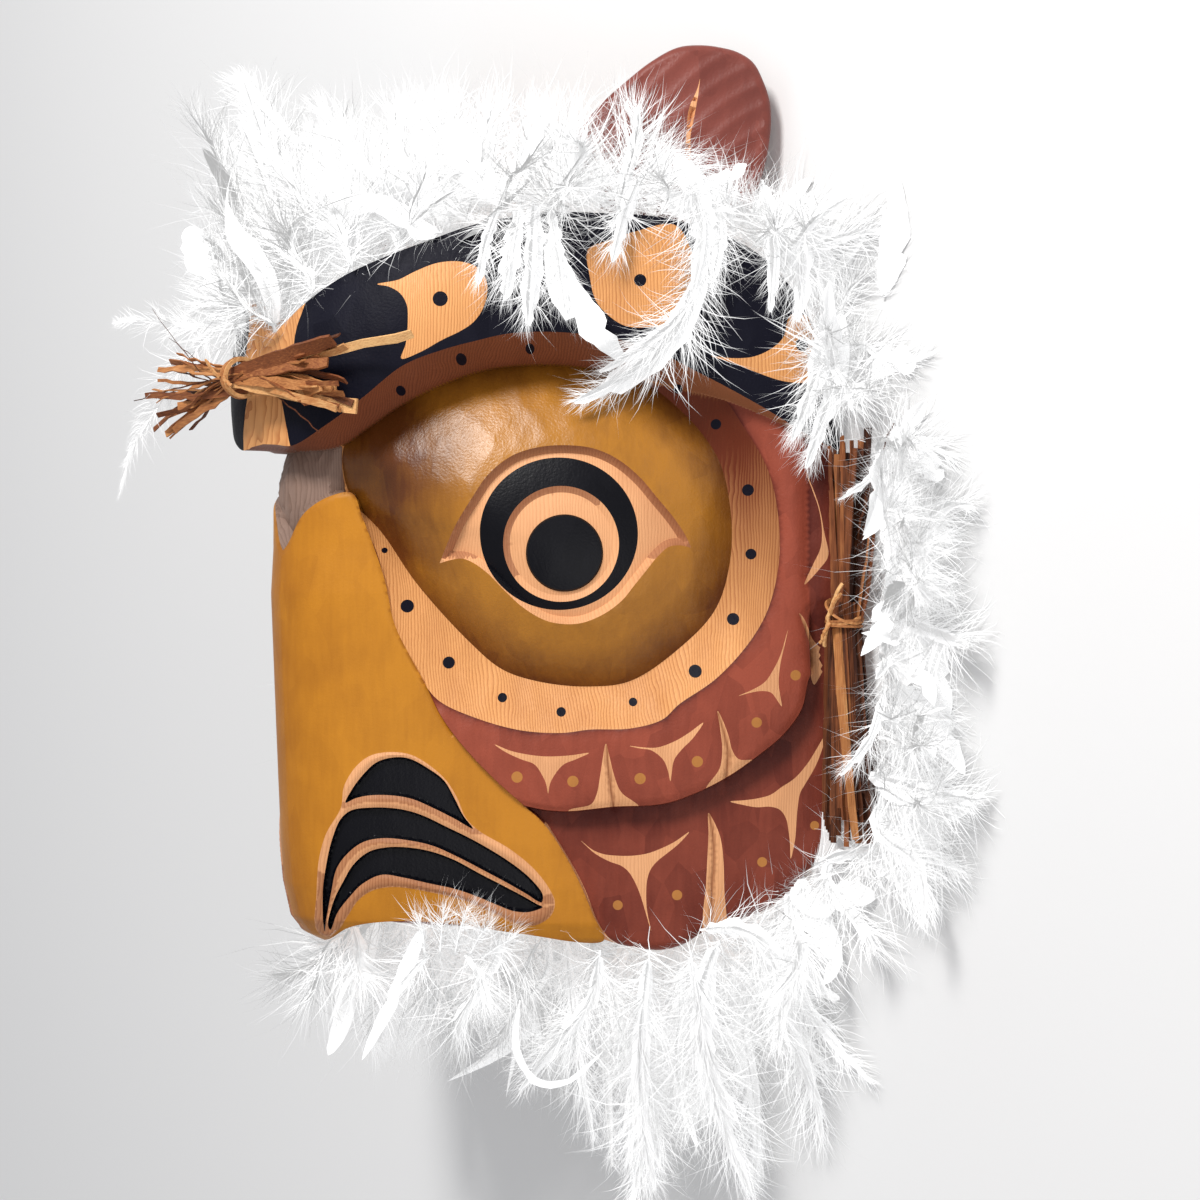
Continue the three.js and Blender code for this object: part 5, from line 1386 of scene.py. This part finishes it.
PLUME_MARGIN = (30, 12, 4)
SLEEK_SHARE = 0.22
ABOVE_WOOD = 7
PICTURE_MIDDLE = 600
PICTURE_STEP = 0.4337
PICTURE_LEVEL = 150
QUILL_TURNS = (0, 2.09, 4.19)
# The side bundle's room, which the plumes leave free, and the far side's edge beside the beak.
BUNDLE_INNER, BUNDLE_OUTER, BUNDLE_HALF = 140, 200, 95
BESIDE_BUNDLE = 115.5
FAR_LIMIT, FAR_HALF = -135, 78
dice = np.random.default_rng(41)

barb_kinds = bpy.data.collections.new("barb_kinds")
for kind, (bend, sway) in enumerate(BARB_KINDS):
    barb_points = []
    for t in (0, 0.4, 0.74):
        for side in (-1, 1):
            half = side * BARB_WIDE * (1 - 0.4 * t) / 2
            barb_points.append((t * (1 - 0.1 * t * abs(bend)), bend * t ** 1.8 + half, sway * t ** 1.8))
    barb_points.append((1 - 0.15 * abs(bend), bend, sway))
    barb_mesh = bpy.data.meshes.new(f"barb_kind_{kind:02d}")
    barb_mesh.from_pydata(barb_points, [], [(0, 2, 3, 1), (2, 4, 5, 3), (4, 6, 5)])
    barb_fade = barb_mesh.attributes.new("fade", "FLOAT", "POINT")
    barb_fade.data.foreach_set("value", [0, 0, 0.4, 0.4, 0.74, 0.74, 1])
    barb_kinds.objects.link(bpy.data.objects.new(f"barb_kind_{kind:02d}", barb_mesh))


def unit(vectors):
    """Vectors of length one in the same directions."""
    return vectors / np.maximum(np.linalg.norm(vectors, axis=-1, keepdims=True), 1e-9)


def in_the_way(tips):
    """Barbs that would hide the side bundles, or stand out past the beak's far side."""
    x, y, z = np.abs(tips[:, 0]), tips[:, 1], tips[:, 2]
    past_bundle = x * ACROSS[0] + z * ACROSS[2] > BESIDE_BUNDLE + 2.5 * np.sin(y / 6)
    over_bundle = (np.abs(y + 6) < BUNDLE_HALF) & (x > BUNDLE_INNER) & (z > 3) & ~past_bundle
    seen_at = tips @ ACROSS / (1 + (VIEW_LEVEL - tips @ OUT) / VIEW_DISTANCE)
    return over_bundle | ((seen_at < FAR_LIMIT) & (np.abs(y + 20) < FAR_HALF))


class Plumes:
    """One group of plumes that becomes one piece: quills, vanes and the places of all barbs."""

    def __init__(self):
        """Empty lists for the quills' and vanes' mesh, and for the barbs' places."""
        self.points, self.faces, self.puffs, self.lays = [], [], [], []
        self.roots, self.along, self.ahead = [], [], []
        self.reach, self.kind, self.root_puffs = [], [], []

    def add(self, quill, facing, wide, fluff, vane, thin=1.0, sleek=False, guarded=True):
        """Adds one plume on its quill's path. A guarded one drops the barbs that are in the way."""
        quill = np.array(quill, float)
        quill[:, 2] = np.maximum(quill[:, 2], LOWEST_QUILL)
        tangent = unit(np.gradient(quill, axis=0))
        facing = unit(facing - np.sum(facing * tangent, 1, keepdims=True) * tangent)
        side = np.cross(facing, tangent)
        length = np.sum(np.linalg.norm(np.diff(quill, axis=0), axis=1))
        last = len(quill) - 1
        start = len(self.points)
        for k in range(last + 1):
            thick = QUILL_THICK * (1 - 0.8 * k / last)
            for turn in QUILL_TURNS:
                off = side[k] * math.cos(turn) + facing[k] * math.sin(turn)
                self.points.append(quill[k] + thick * off)
                self.puffs.append(facing[k] + 0.5 * off)
                self.lays.append((0, 0, 0))
        for k in range(last):
            for j in range(3):
                a, b = start + 3 * k + j, start + 3 * k + (j + 1) % 3
                self.faces.append((a, a + 3, b + 3, b))
        self.faces.append((start, start + 1, start + 2))
        end = start + 3 * last
        self.faces.append((end + 2, end + 1, end))

        def on_quill(values, t):
            """Values between those at the quill's points."""
            index = np.atleast_1d(t) * last
            low = np.minimum(index.astype(int), last - 1)
            mix = (index - low)[:, None]
            return values[low] * (1 - mix) + values[low + 1] * mix

        # The closed part: cupped leaves that rise from the quill, torn and notched along their edges.
        t = np.linspace(0.04, 1.0, VANE_STEPS)
        middle, ahead, out, up = (on_quill(v, t) for v in (quill, tangent, side, facing))
        swell = np.sin(math.pi * np.linspace(0.14, 0.98, VANE_STEPS)) ** 0.7
        if sleek:
            swell = (t / 0.42) ** 0.5 * ((1.001 - t) / 0.58) ** 0.72
        for turn, share in VANE_LEAVES[:2] if sleek else VANE_LEAVES:
            tears = dice.uniform(*((0.8, 1.0) if sleek else (0.45, 1.1)), VANE_STEPS)
            if sleek:
                tears[dice.integers(4, VANE_STEPS - 3)] *= 0.5
            aside = out * math.cos(turn) + up * math.sin(turn)
            start = len(self.points)
            for k in range(VANE_STEPS):
                half = wide * vane * 0.5 * share * swell[k] * tears[k]
                spread = unit(aside[k] + ahead[k] * 0.75)
                self.points += [middle[k], middle[k] + half * (0.5 * spread + 0.1 * up[k]),
                                middle[k] + half * (spread + 0.03 * up[k])]
                self.puffs += [up[k], up[k] + 0.3 * aside[k], up[k] + 0.6 * aside[k]]
                self.lays += [(t[k] * length, 0, 1), (t[k] * length - 0.4 * half, half * 0.5, 1),
                              (t[k] * length - 0.8 * half, half, 1)]
            for k in range(VANE_STEPS - 1):
                a = start + 3 * k
                self.faces += [(a, a + 1, a + 4, a + 3), (a + 1, a + 2, a + 5, a + 4)]

        # The barbs: sleek and swept forward near the tip, loose and curling in the down at the base.
        count = int(length * BARBS_PER_MM * thin)
        at = dice.uniform(0.0, 1.0, count)
        if sleek:
            at = 0.62 * at ** 1.3
        ahead, out, up, places = (on_quill(v, at) for v in (tangent, side, facing, quill))
        down = np.clip(fluff * (1.35 - at) + dice.normal(0, 0.15, count), 0, 1)
        sign = dice.choice([-1.0, 1.0], count)
        opening = np.radians(30 + 32 * (1 - at) + 26 * down * dice.uniform(-0.5, 1.0, count))
        clump = (at * length / CLUMP_LONG).astype(int) * 2 + (sign > 0)
        shared = dice.normal(0, 1, (int(clump.max()) + 1, 4))[clump]
        lift = (0.9 * shared[:, 3] + 0.35 * dice.normal(0, 1, count)) * (0.12 + 0.85 * down)
        outward = out * (sign * np.cos(lift))[:, None] + up * np.sin(lift)[:, None]
        direction = ahead * np.cos(opening)[:, None] + outward * np.sin(opening)[:, None]
        direction = direction + shared[:, :3] * (0.04 + 0.24 * down)[:, None]
        direction = unit(direction + dice.normal(0, 1, (count, 3)) * (0.04 + 0.10 * down)[:, None])
        reach = wide * 0.64 * np.sin(math.pi * np.clip(0.16 + 0.8 * at, 0, 1)) ** 0.6
        reach = reach * dice.uniform(0.55, 1.2, count) * (1 + 0.25 * down)
        direction[:, 2] = np.maximum(direction[:, 2], (LOWEST_BARB - places[:, 2]) / reach)
        tidy_kind = dice.integers(0, SLEEK_KINDS, count)
        loose_kind = (dice.integers(2, len(BARB_KINDS), count) + clump * 5) % (len(BARB_KINDS) - 2) + 2
        kinds = np.where(dice.uniform(size=count) < down, loose_kind, tidy_kind)
        bends = ahead + (shared[:, :3] * 0.5 + dice.normal(0, 0.3, (count, 3))) * (0.15 + down)[:, None]
        kept = np.ones(count, bool)
        if guarded:
            kept = ~in_the_way(places + reach[:, None] * unit(direction)) & ~in_the_way(places)
        self.roots.append(places[kept])
        self.along.append(unit(direction)[kept])
        self.ahead.append(bends[kept])
        self.reach.append(reach[kept])
        self.kind.append(kinds[kept])
        self.root_puffs.append((up + 0.4 * direction)[kept])


# Geometry Nodes set one soft barb on every place, each of one of the kinds and of its own width.
barb_tree, barb_in, barb_out = new_group(
    "barbs_on_quills", [("Geometry", "Geometry"), ("Kinds", "Collection"), ("Seed", "Int"),
                        ("Finish", "Material")], [("Geometry", "Geometry")], "GeometryNodeTree")
reach_of = named(barb_tree, "FLOAT", "reach")
kinds_info = weave(barb_tree, "GeometryNodeCollectionInfo", {
    "Collection": barb_in["Kinds"], "Separate Children": True, "Reset Children": True})
width_dice = weave(barb_tree, "FunctionNodeRandomValue", {2: 0.7, 3: 1.3, "Seed": barb_in["Seed"]})
any_width = next(s for s in width_dice.outputs if s.enabled)
barb_size = weave(barb_tree, "ShaderNodeCombineXYZ", {
    "X": reach_of, "Y": sum_of(barb_tree, "MULTIPLY", any_width, reach_of), "Z": reach_of})
place_barbs = weave(barb_tree, "GeometryNodeInstanceOnPoints", {
    "Points": barb_in["Geometry"], "Instance": kinds_info.outputs["Instances"], "Pick Instance": True,
    "Instance Index": named(barb_tree, "INT", "kind"), "Scale": barb_size.outputs[0],
    "Rotation": named(barb_tree, "FLOAT_VECTOR", "turn")})
real_barbs = weave(barb_tree, "GeometryNodeRealizeInstances", {"Geometry": place_barbs.outputs[0]})
barb_finish = weave(barb_tree, "GeometryNodeSetMaterial", {
    "Geometry": real_barbs.outputs["Geometry"], "Material": barb_in["Finish"]})
barb_tree.links.new(barb_finish.outputs[0], barb_out["Geometry"])

feather_white = bpy.data.materials.new("feather_white")
feather_white.use_nodes = True
feather_shader = feather_white.node_tree.nodes["Principled BSDF"]
# Every feather glows white: painted light that stands in for light shining through the thin down and lifts
# their shaded parts.
feather_shader.inputs["Emission Color"].default_value = (1, 1, 1, 1)
feather_shader.inputs["Emission Strength"].default_value = 0.45

# The closed vanes show fine barb lines, and the loose barbs thin out towards their tips.
feather_lines, feather_in, feather_out = new_group(
    "feather_lines", [("Lay", "Vector"), ("Fade", "Float")],
    [("Colour", "Color"), ("Alpha", "Float"), ("Roughness", "Float")])
barb_line = noise(feather_lines, pulled(feather_lines, feather_in["Lay"], (0.95, 0.10, 0.0)), 1.6, 2.0)
feather_colour = blend(feather_lines, sum_of(feather_lines, "MULTIPLY_ADD", barb_line, 2.2, -0.75),
                       (0.70, 0.705, 0.72, 1), (0.86, 0.86, 0.855, 1))
fade_share = sum_of(feather_lines, "POWER", feather_in["Fade"], 1.6)
feather_lines.links.new(feather_colour, feather_out["Colour"])
feather_lines.links.new(sum_of(feather_lines, "MULTIPLY_ADD", fade_share, -0.72, 1.0), feather_out["Alpha"])
feather_rough = sum_of(feather_lines, "MULTIPLY_ADD", barb_line, 0.3, 0.6)
feather_lines.links.new(feather_rough, feather_out["Roughness"])
feather_web = feather_white.node_tree
feather_effect = weave(feather_web, "ShaderNodeGroup", node_tree=feather_lines)
for title, kind, label in (("lay", "Vector", "Lay"), ("fade", "Fac", "Fade")):
    held = weave(feather_web, "ShaderNodeAttribute", attribute_name=title)
    feather_web.links.new(held.outputs[kind], feather_effect.inputs[label])
feather_web.links.new(feather_effect.outputs["Colour"], feather_shader.inputs["Base Color"])
feather_web.links.new(feather_effect.outputs["Alpha"], feather_shader.inputs["Alpha"])
feather_web.links.new(feather_effect.outputs["Roughness"], feather_shader.inputs["Roughness"])
puff_at = weave(feather_web, "ShaderNodeAttribute", attribute_name="puff")
feather_web.links.new(puff_at.outputs["Vector"], feather_shader.inputs["Normal"])


def soft_limit(values, limit, margin):
    """Lets values grow towards a limit without ever passing it."""
    over = np.maximum(np.abs(values) - (limit - margin), 0)
    return np.sign(values) * (np.minimum(np.abs(values), limit - margin) + margin * np.tanh(over / margin))


def make_plumes(name, group, seed, replaced):
    """Turns a group's quills, vanes and barbs into one plain mesh that stands for its CAD tufts."""
    roots, along, ahead = (np.concatenate(v) for v in (group.roots, group.along, group.ahead))
    second = unit(ahead - np.sum(ahead * along, 1, keepdims=True) * along)
    third = np.cross(along, second)
    turns = np.zeros((len(roots), 3))
    for i, (x, y, z) in enumerate(zip(along, second, third)):
        turns[i] = Matrix(((x[0], y[0], z[0]), (x[1], y[1], z[1]), (x[2], y[2], z[2]))).to_euler()
    puffs = unit(np.concatenate(group.root_puffs) + SKYWARD)
    reach, kinds = np.concatenate(group.reach) * METRES, np.concatenate(group.kind)
    places = bpy.data.meshes.new(name + "_barb_places")
    places.from_pydata((roots * METRES).tolist(), [], [])
    for title, kind, values in (("turn", "FLOAT_VECTOR", turns), ("reach", "FLOAT", reach),
                                ("kind", "INT", kinds), ("puff", "FLOAT_VECTOR", puffs)):
        layer = places.attributes.new(title, kind, "POINT")
        layer.data.foreach_set("vector" if kind == "FLOAT_VECTOR" else "value", values.ravel())
    barbs = grown(places, barb_tree, Kinds=barb_kinds, Seed=seed, Finish=feather_white)
    quills = bpy.data.meshes.new("quills")
    quills.from_pydata((np.array(group.points) * METRES).tolist(), [], group.faces)
    puffs = unit(np.array(group.puffs) + SKYWARD)
    for title, values in (("puff", puffs), ("lay", np.array(group.lays, float))):
        quills.attributes.new(title, "FLOAT_VECTOR", "POINT").data.foreach_set("vector", values.ravel())
    joined = bmesh.new()
    joined.from_mesh(barbs)
    joined.from_mesh(quills)
    mesh = bpy.data.meshes.new(name)
    joined.to_mesh(mesh)
    joined.free()
    bpy.data.meshes.remove(barbs)
    bpy.data.meshes.remove(quills)
    spots = np.zeros(3 * len(mesh.vertices))
    mesh.vertices.foreach_get("co", spots)
    spots = spots.reshape(-1, 3) / METRES
    half = PLUME_REACH[2] / 2
    for axis in (0, 1):
        spots[:, axis] = soft_limit(spots[:, axis], PLUME_REACH[axis], PLUME_MARGIN[axis])
    spots[:, 2] = half + soft_limit(spots[:, 2] - half, half - 0.2, PLUME_MARGIN[2])
    mesh.vertices.foreach_set("co", (spots * METRES).ravel())
    mesh.shade_smooth()
    for title in ("turn", "reach", "kind"):
        if title in mesh.attributes:
            mesh.attributes.remove(mesh.attributes[title])
    mesh.materials.clear()
    mesh.materials.append(feather_white)
    piece = bpy.data.objects.new(name, mesh)
    scene.collection.objects.link(piece)
    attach(piece, "root")
    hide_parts(*replaced)


def outline_walk(line, start, end):
    """Points on an outline from start to end, with the outward direction of its edge and the level."""
    ring = evenly(line, 3.0)
    area = np.sum(ring[:, 0] * np.roll(ring, -1, 0)[:, 1] - np.roll(ring, -1, 0)[:, 0] * ring[:, 1])
    if area > 0:
        ring = ring[::-1]
    i = int(np.argmin(np.hypot(*(ring - start).T)))
    j = int(np.argmin(np.hypot(*(ring - end).T)))
    count = (j - i) % len(ring)
    picked = (i + np.arange(count + 1)) % len(ring)
    along = unit(ring[(picked + 1) % len(ring)] - ring[picked - 1])
    outward = np.stack([-along[:, 1], along[:, 0]], 1)
    inner = ring[picked] - outward * 5
    return ring[picked], outward, carved_level(inner[:, 0], inner[:, 1])


# The walls that carry feathers, walked clockwise as the near side is seen.
CREST_WALK = outline_walk(BROW_OUTLINE, (-150, 117), (104, 84))
CHEEK_WALK = outline_walk(LINES["face"], (104, 70), (2, -151.5))
BEAK_WALK = outline_walk(BEAK_LINE, (1.5, -151.5), (-125, -154.6))


def fringe(group, walk, share, count, depth, length, wide, lean, spread, droop, fluff, vane, flip,
           thin=1.0):
    """A row of plumes glued along part of a wall, at random depths below its front edge.

    share is the part of the walk, depth, length and wide are in mm, lean is the heading towards the
    front and how much it varies, and flip puts the row on the mask's left side.
    """
    points, outward, level = walk
    t = np.linspace(0, 1, QUILL_POINTS)[:, None]
    for k in range(count):
        at = share[0] + (share[1] - share[0]) * (k + dice.uniform(0.0, 1.0)) / count
        i = min(int(at * len(points)), len(points) - 1)
        (u, v), (nu, nv) = points[i], outward[i]
        root = u * ACROSS + v * UP + level[i] * OUT
        deep = min(dice.uniform(*depth), (root[2] - 2.5) / OUT[2])
        root = root - deep * OUT + (nu * X_AXIS + nv * Y_AXIS) * 0.8 + CROWN_SHIFT * Y_AXIS
        turn = dice.normal(0, spread)
        heading = unit((nu * math.cos(turn) - nv * math.sin(turn)) * X_AXIS
                       + (nv * math.cos(turn) + nu * math.sin(turn)) * Y_AXIS
                       + dice.normal(*lean) * Z_AXIS)
        curl = droop * np.array([0, -1, 0]) * dice.uniform(0.3, 1.5) + dice.normal(0, 0.2, 3)
        long = np.interp(at, length[0], length[1]) * dice.uniform(0.75, 1.15)
        kink = dice.normal(0, 0.05, 3)
        quill = root + long * (t * heading + t ** 2 * curl + np.sin(2 * math.pi * t) * kink)
        facing = unit(OUT + 0.3 * UP + dice.normal(0, 0.3, 3))
        side_bend = dice.uniform(-0.4, 0.4)
        beside = 1 - min(max((abs(root[1] + 8) - 78) / 18, 0), 1)
        quill = quill + beside * max(0, BUNDLE_OUTER - root[0]) * (root[0] > 150) * X_AXIS
        if flip:
            quill, facing = quill * [-1, 1, 1], facing * [-1, 1, 1]
        if dice.uniform() < SLEEK_SHARE:
            bend = side_bend * long * t ** 2 * np.cross(heading, facing)
            group.add(quill + bend, facing, dice.uniform(16, 26), fluff, dice.uniform(0.6, 0.85), 0.5, True)
        else:
            group.add(quill, facing, dice.uniform(*wide), fluff * dice.uniform(0.5, 1.3), vane, thin)


def laid_over(group, places, wide, fluff, vane, sleek, level=None):
    """A plume whose quill follows picture places, on the wood or from one level to another.

    A picture place is a pixel of the photograph, and PICTURE_STEP is its width in mm.
    """
    places = np.array(places, float)
    seen = np.stack([(places[:, 0] - PICTURE_MIDDLE) * PICTURE_STEP,
                     (PICTURE_MIDDLE - places[:, 1]) * PICTURE_STEP], 1)
    t = np.linspace(0, len(seen) - 1, QUILL_POINTS)
    tight = [np.interp(t, np.arange(len(seen)), seen[:, k]) for k in (0, 1)]
    for _ in range(3):
        tight = [np.concatenate([w[:1], (w[:-2] + 2 * w[1:-1] + w[2:]) / 4, w[-1:]]) for w in tight]
    u, v = tight
    if level is None:
        ground = carved_level(u, np.minimum(v, height_of(BROW_LINES["top"], u) - 2))
        out = ground + ABOVE_WOOD * (0.6 + 0.8 * np.linspace(0, 1, QUILL_POINTS))
    else:
        out = np.linspace(level[0], level[1], QUILL_POINTS)
    nearness = 1 + (PICTURE_LEVEL - out) / VIEW_DISTANCE
    u, v = u * nearness, v * nearness
    quill = u[:, None] * ACROSS + v[:, None] * UP + out[:, None] * OUT + CROWN_SHIFT * Y_AXIS
    facing = unit(OUT + dice.normal(0, 0.15, 3))
    group.add(quill, facing, wide, fluff, vane, sleek=sleek, guarded=False)


# Plumes that can be told apart in the photograph. Each row has the picture places that its quill
# passes, its width in mm, how downy it is, how wide its closed vane is, whether it is a sleek pointed
# feather, and how far its base and its tip stand out towards the camera. Those of the first table
# lie on the wood instead.
OVER_BROW = [
    ([(520, 205), (512, 250), (505, 300)], 32, 0.9, 0.4, False),
    ([(535, 200), (532, 260), (528, 325)], 34, 0.8, 0.45, False),
    ([(550, 205), (560, 260), (566, 312)], 30, 0.9, 0.3, False),
    ([(500, 205), (485, 245), (478, 285)], 26, 0.9, 0.3, False),
    ([(548, 235), (562, 290), (590, 322), (624, 362)], 20, 0.2, 1.0, True),
    ([(640, 175), (622, 220), (612, 262)], 30, 0.9, 0.35, False),
    ([(672, 150), (700, 195), (706, 245), (692, 300)], 40, 1.0, 0.4, False),
    ([(690, 160), (716, 200), (722, 240), (712, 282)], 34, 1.0, 0.3, False),
    ([(706, 240), (700, 300), (668, 352), (618, 384), (575, 402)], 36, 0.9, 0.45, False),
    ([(700, 250), (690, 310), (650, 345), (600, 372)], 30, 0.9, 0.35, False),
    ([(790, 190), (806, 250), (798, 322)], 36, 0.9, 0.4, False),
    ([(762, 180), (776, 240), (770, 312)], 22, 0.5, 0.5, False),
    ([(820, 230), (832, 300), (818, 380), (792, 440)], 38, 0.9, 0.4, False),
    ([(842, 300), (838, 380), (806, 468)], 34, 0.9, 0.4, False)]
BY_CREST = [
    ([(250, 300), (190, 350), (150, 420), (98, 498)], 24, 0.9, 0.0, False, (70, 66)),
    ([(255, 310), (200, 330), (150, 318), (98, 322)], 22, 0.8, 0.15, False, (70, 60)),
    ([(262, 300), (215, 282), (196, 250), (190, 226)], 22, 0.2, 0.9, True, (85, 84)),
    ([(300, 150), (262, 110), (234, 76)], 34, 0.8, 0.4, False, (60, 60)),
    ([(500, 205), (470, 165), (450, 120)], 24, 0.2, 0.95, True, (140, 150)),
    ([(905, 300), (925, 250), (905, 175)], 22, 0.2, 0.9, True, (150, 160)),
    ([(400, 235), (400, 170), (395, 105)], 46, 1.1, 0.3, False, (112, 96)),
    ([(440, 220), (440, 160), (448, 100)], 46, 1.1, 0.3, False, (112, 96)),
    ([(412, 225), (418, 180), (418, 122)], 48, 1.3, 0.3, False, (104, 92)),
    ([(428, 225), (430, 185), (430, 130)], 44, 1.3, 0.3, False, (100, 92)),
    ([(350, 250), (340, 190), (330, 130)], 46, 1.1, 0.3, False, (104, 90)),
    ([(480, 210), (484, 150), (492, 110)], 44, 1.1, 0.3, False, (120, 110)),
    ([(300, 290), (280, 230), (262, 165)], 46, 1.1, 0.3, False, (96, 84)),
    ([(880, 380), (930, 360), (977, 374)], 20, 0.2, 0.9, True, (150, 150))]
BY_RIM = [
    ([(895, 478), (892, 512), (862, 540)], 8, 0.6, 0.8, True, (172, 176)),
    ([(880, 450), (872, 480), (838, 500)], 13, 0.6, 0.4, False, (172, 178)),
    ([(905, 460), (950, 462), (990, 482)], 20, 0.3, 0.8, True, (170, 168)),
    ([(915, 690), (975, 722), (1034, 770)], 20, 0.3, 0.8, True, (172, 170)),
    ([(885, 690), (872, 740), (840, 775)], 22, 1.0, 0.3, False, (176, 182)),
    ([(900, 620), (950, 650), (980, 720)], 24, 0.3, 0.9, True, (176, 176))]
BY_CHIN = [
    ([(425, 955), (424, 935), (418, 915)], 22, 1.0, 0.0, False, (156, 166)),
    ([(440, 955), (442, 930), (444, 908)], 24, 1.0, 0.0, False, (156, 168)),
    ([(455, 955), (460, 930), (468, 906)], 24, 1.0, 0.0, False, (156, 168)),
    ([(470, 955), (480, 935), (495, 918)], 24, 1.0, 0.0, False, (156, 168)),
    ([(482, 958), (500, 945), (520, 935)], 22, 1.0, 0.0, False, (156, 166)),
    ([(430, 955), (418, 965), (400, 985)], 26, 1.0, 0.2, False, (156, 160)),
    ([(465, 955), (482, 975), (490, 1010)], 26, 1.0, 0.2, False, (156, 160)),
    ([(424, 925), (400, 985), (362, 1060)], 10, 0.2, 0.95, True, (160, 150)),
    ([(520, 1000), (510, 1050), (534, 1090), (572, 1084), (604, 1050)], 6, 0.5, 0.8, True, (150, 150)),
    ([(600, 950), (596, 1000), (560, 1040), (520, 1090)], 38, 1.2, 0.25, False, (140, 130)),
    ([(650, 950), (640, 1030), (640, 1110), (655, 1190)], 46, 1.25, 0.25, False, (140, 120)),
    ([(690, 950), (705, 1040), (720, 1120), (752, 1195)], 46, 1.25, 0.25, False, (140, 120)),
    ([(760, 950), (790, 1030), (812, 1090), (846, 1140)], 42, 1.25, 0.25, False, (140, 120)),
    ([(700, 930), (740, 925), (775, 950), (780, 1000)], 34, 1.0, 0.4, False, (150, 150)),
    ([(720, 940), (700, 985), (700, 1060), (735, 1120)], 40, 0.9, 0.4, False, (140, 130))]

for side_name, flip in (("right", False), ("left", True)):
    near_share = 0.8 if flip else 1.0
    crest = Plumes()
    if not flip:
        for row in OVER_BROW + BY_CREST:
            laid_over(crest, *row)
    crest_length = ((0, 0.25, 0.5, 0.7, 0.85, 1), (80, 60, 40, 36, 44, 54))
    fringe(crest, CREST_WALK, (0.0, 0.8), int(30 * near_share), (2, 22), crest_length, (36, 52),
           (0.2, 0.35), 0.6, 0.05, 1.0, 0.2, flip)
    fringe(crest, CREST_WALK, (0.0, 0.8), int(25 * near_share), (24, 60), crest_length, (36, 52),
           (0.0, 0.3), 0.5, 0.05, 1.0, 0.2, flip)
    fringe(crest, CREST_WALK, (0.02, 0.75), 12, (-5, 0), ((0, 1), (46, 34)), (30, 40),
           (0.3, 0.3), 0.7, 0.1, 1.2, 0.15, flip, thin=0.8)
    fringe(crest, CREST_WALK, (0.76, 1.0), 14, (2, 60), crest_length, (34, 50),
           (0.5, 0.35), 0.6, 0.15, 1.0, 0.2, flip)
    tufts = [f"feather_tuft_crest_{side_name}_{k}" for k in range(1, 8)]
    make_plumes("crest_feathers_" + side_name, crest, 5, tufts + ["feather_tuft_brow_end_" + side_name])
    cheek = Plumes()
    rim_lean = (0.1, 0.1) if flip else (0.3, 0.2)
    cheek_length = ((0, 0.12, 0.25, 0.38, 0.5, 0.62, 0.8, 1), (56, 50, 58, 46, 60, 52, 84, 92))
    beak_length = ((0, 0.3, 0.65, 1), (84, 52, 66, 42))
    fringe(cheek, CHEEK_WALK, (0.0, 0.55), int(36 * near_share), (60, 400), cheek_length, (34, 50),
           rim_lean, 0.45, 0.1, 1.0, 0.24, flip)
    if not flip:
        for row in BY_RIM:
            laid_over(cheek, *row)
    tufts = [f"feather_tuft_rim_{side_name}_{k}" for k in range(1, 7)]
    make_plumes("rim_feathers_" + side_name, cheek, 6, tufts)
    chin = Plumes()
    fringe(chin, CHEEK_WALK, (0.55, 1.0), int(28 * near_share), (12, 200), cheek_length, (34, 52),
           (0.12, 0.2), 0.4, 0.1, 1.05, 0.24, flip)
    fringe(chin, BEAK_WALK, (0.0, 1.0), int(22 * near_share), (8, 130), beak_length, (34, 50),
           (0.05, 0.25), 0.4, 0.1, 1.1, 0.2, flip)
    if not flip:
        for row in BY_CHIN:
            laid_over(chin, *row)
    tufts = [f"feather_tuft_rim_{side_name}_{k}" for k in range(7, 10)]
    tufts += [f"feather_tuft_chin_{side_name}_{k}" for k in range(1, 5)]
    make_plumes("chin_feathers_" + side_name, chin, 6, tufts)
# The few plumes over the middle of the crest.
middle = Plumes()
t = np.linspace(0, 1, QUILL_POINTS)[:, None]
for k in range(8):
    root = np.array([dice.uniform(-14, 14), 133.0 + CROWN_SHIFT, 174 - 6 * k])
    heading = np.array([dice.normal(0, 0.35), 1.0, dice.normal(0.1, 0.2)])
    quill = root + 76 * (t * heading + t ** 2 * dice.normal(0, 0.2, 3))
    middle.add(quill, np.array([0.2, 0, 1.0]), 38, 0.9, 0.4)
make_plumes("crest_feathers_centre", middle, 7, ["feather_tuft_crest_centre"])
for kind in list(barb_kinds.objects):
    bpy.data.objects.remove(kind)
bpy.data.collections.remove(barb_kinds)
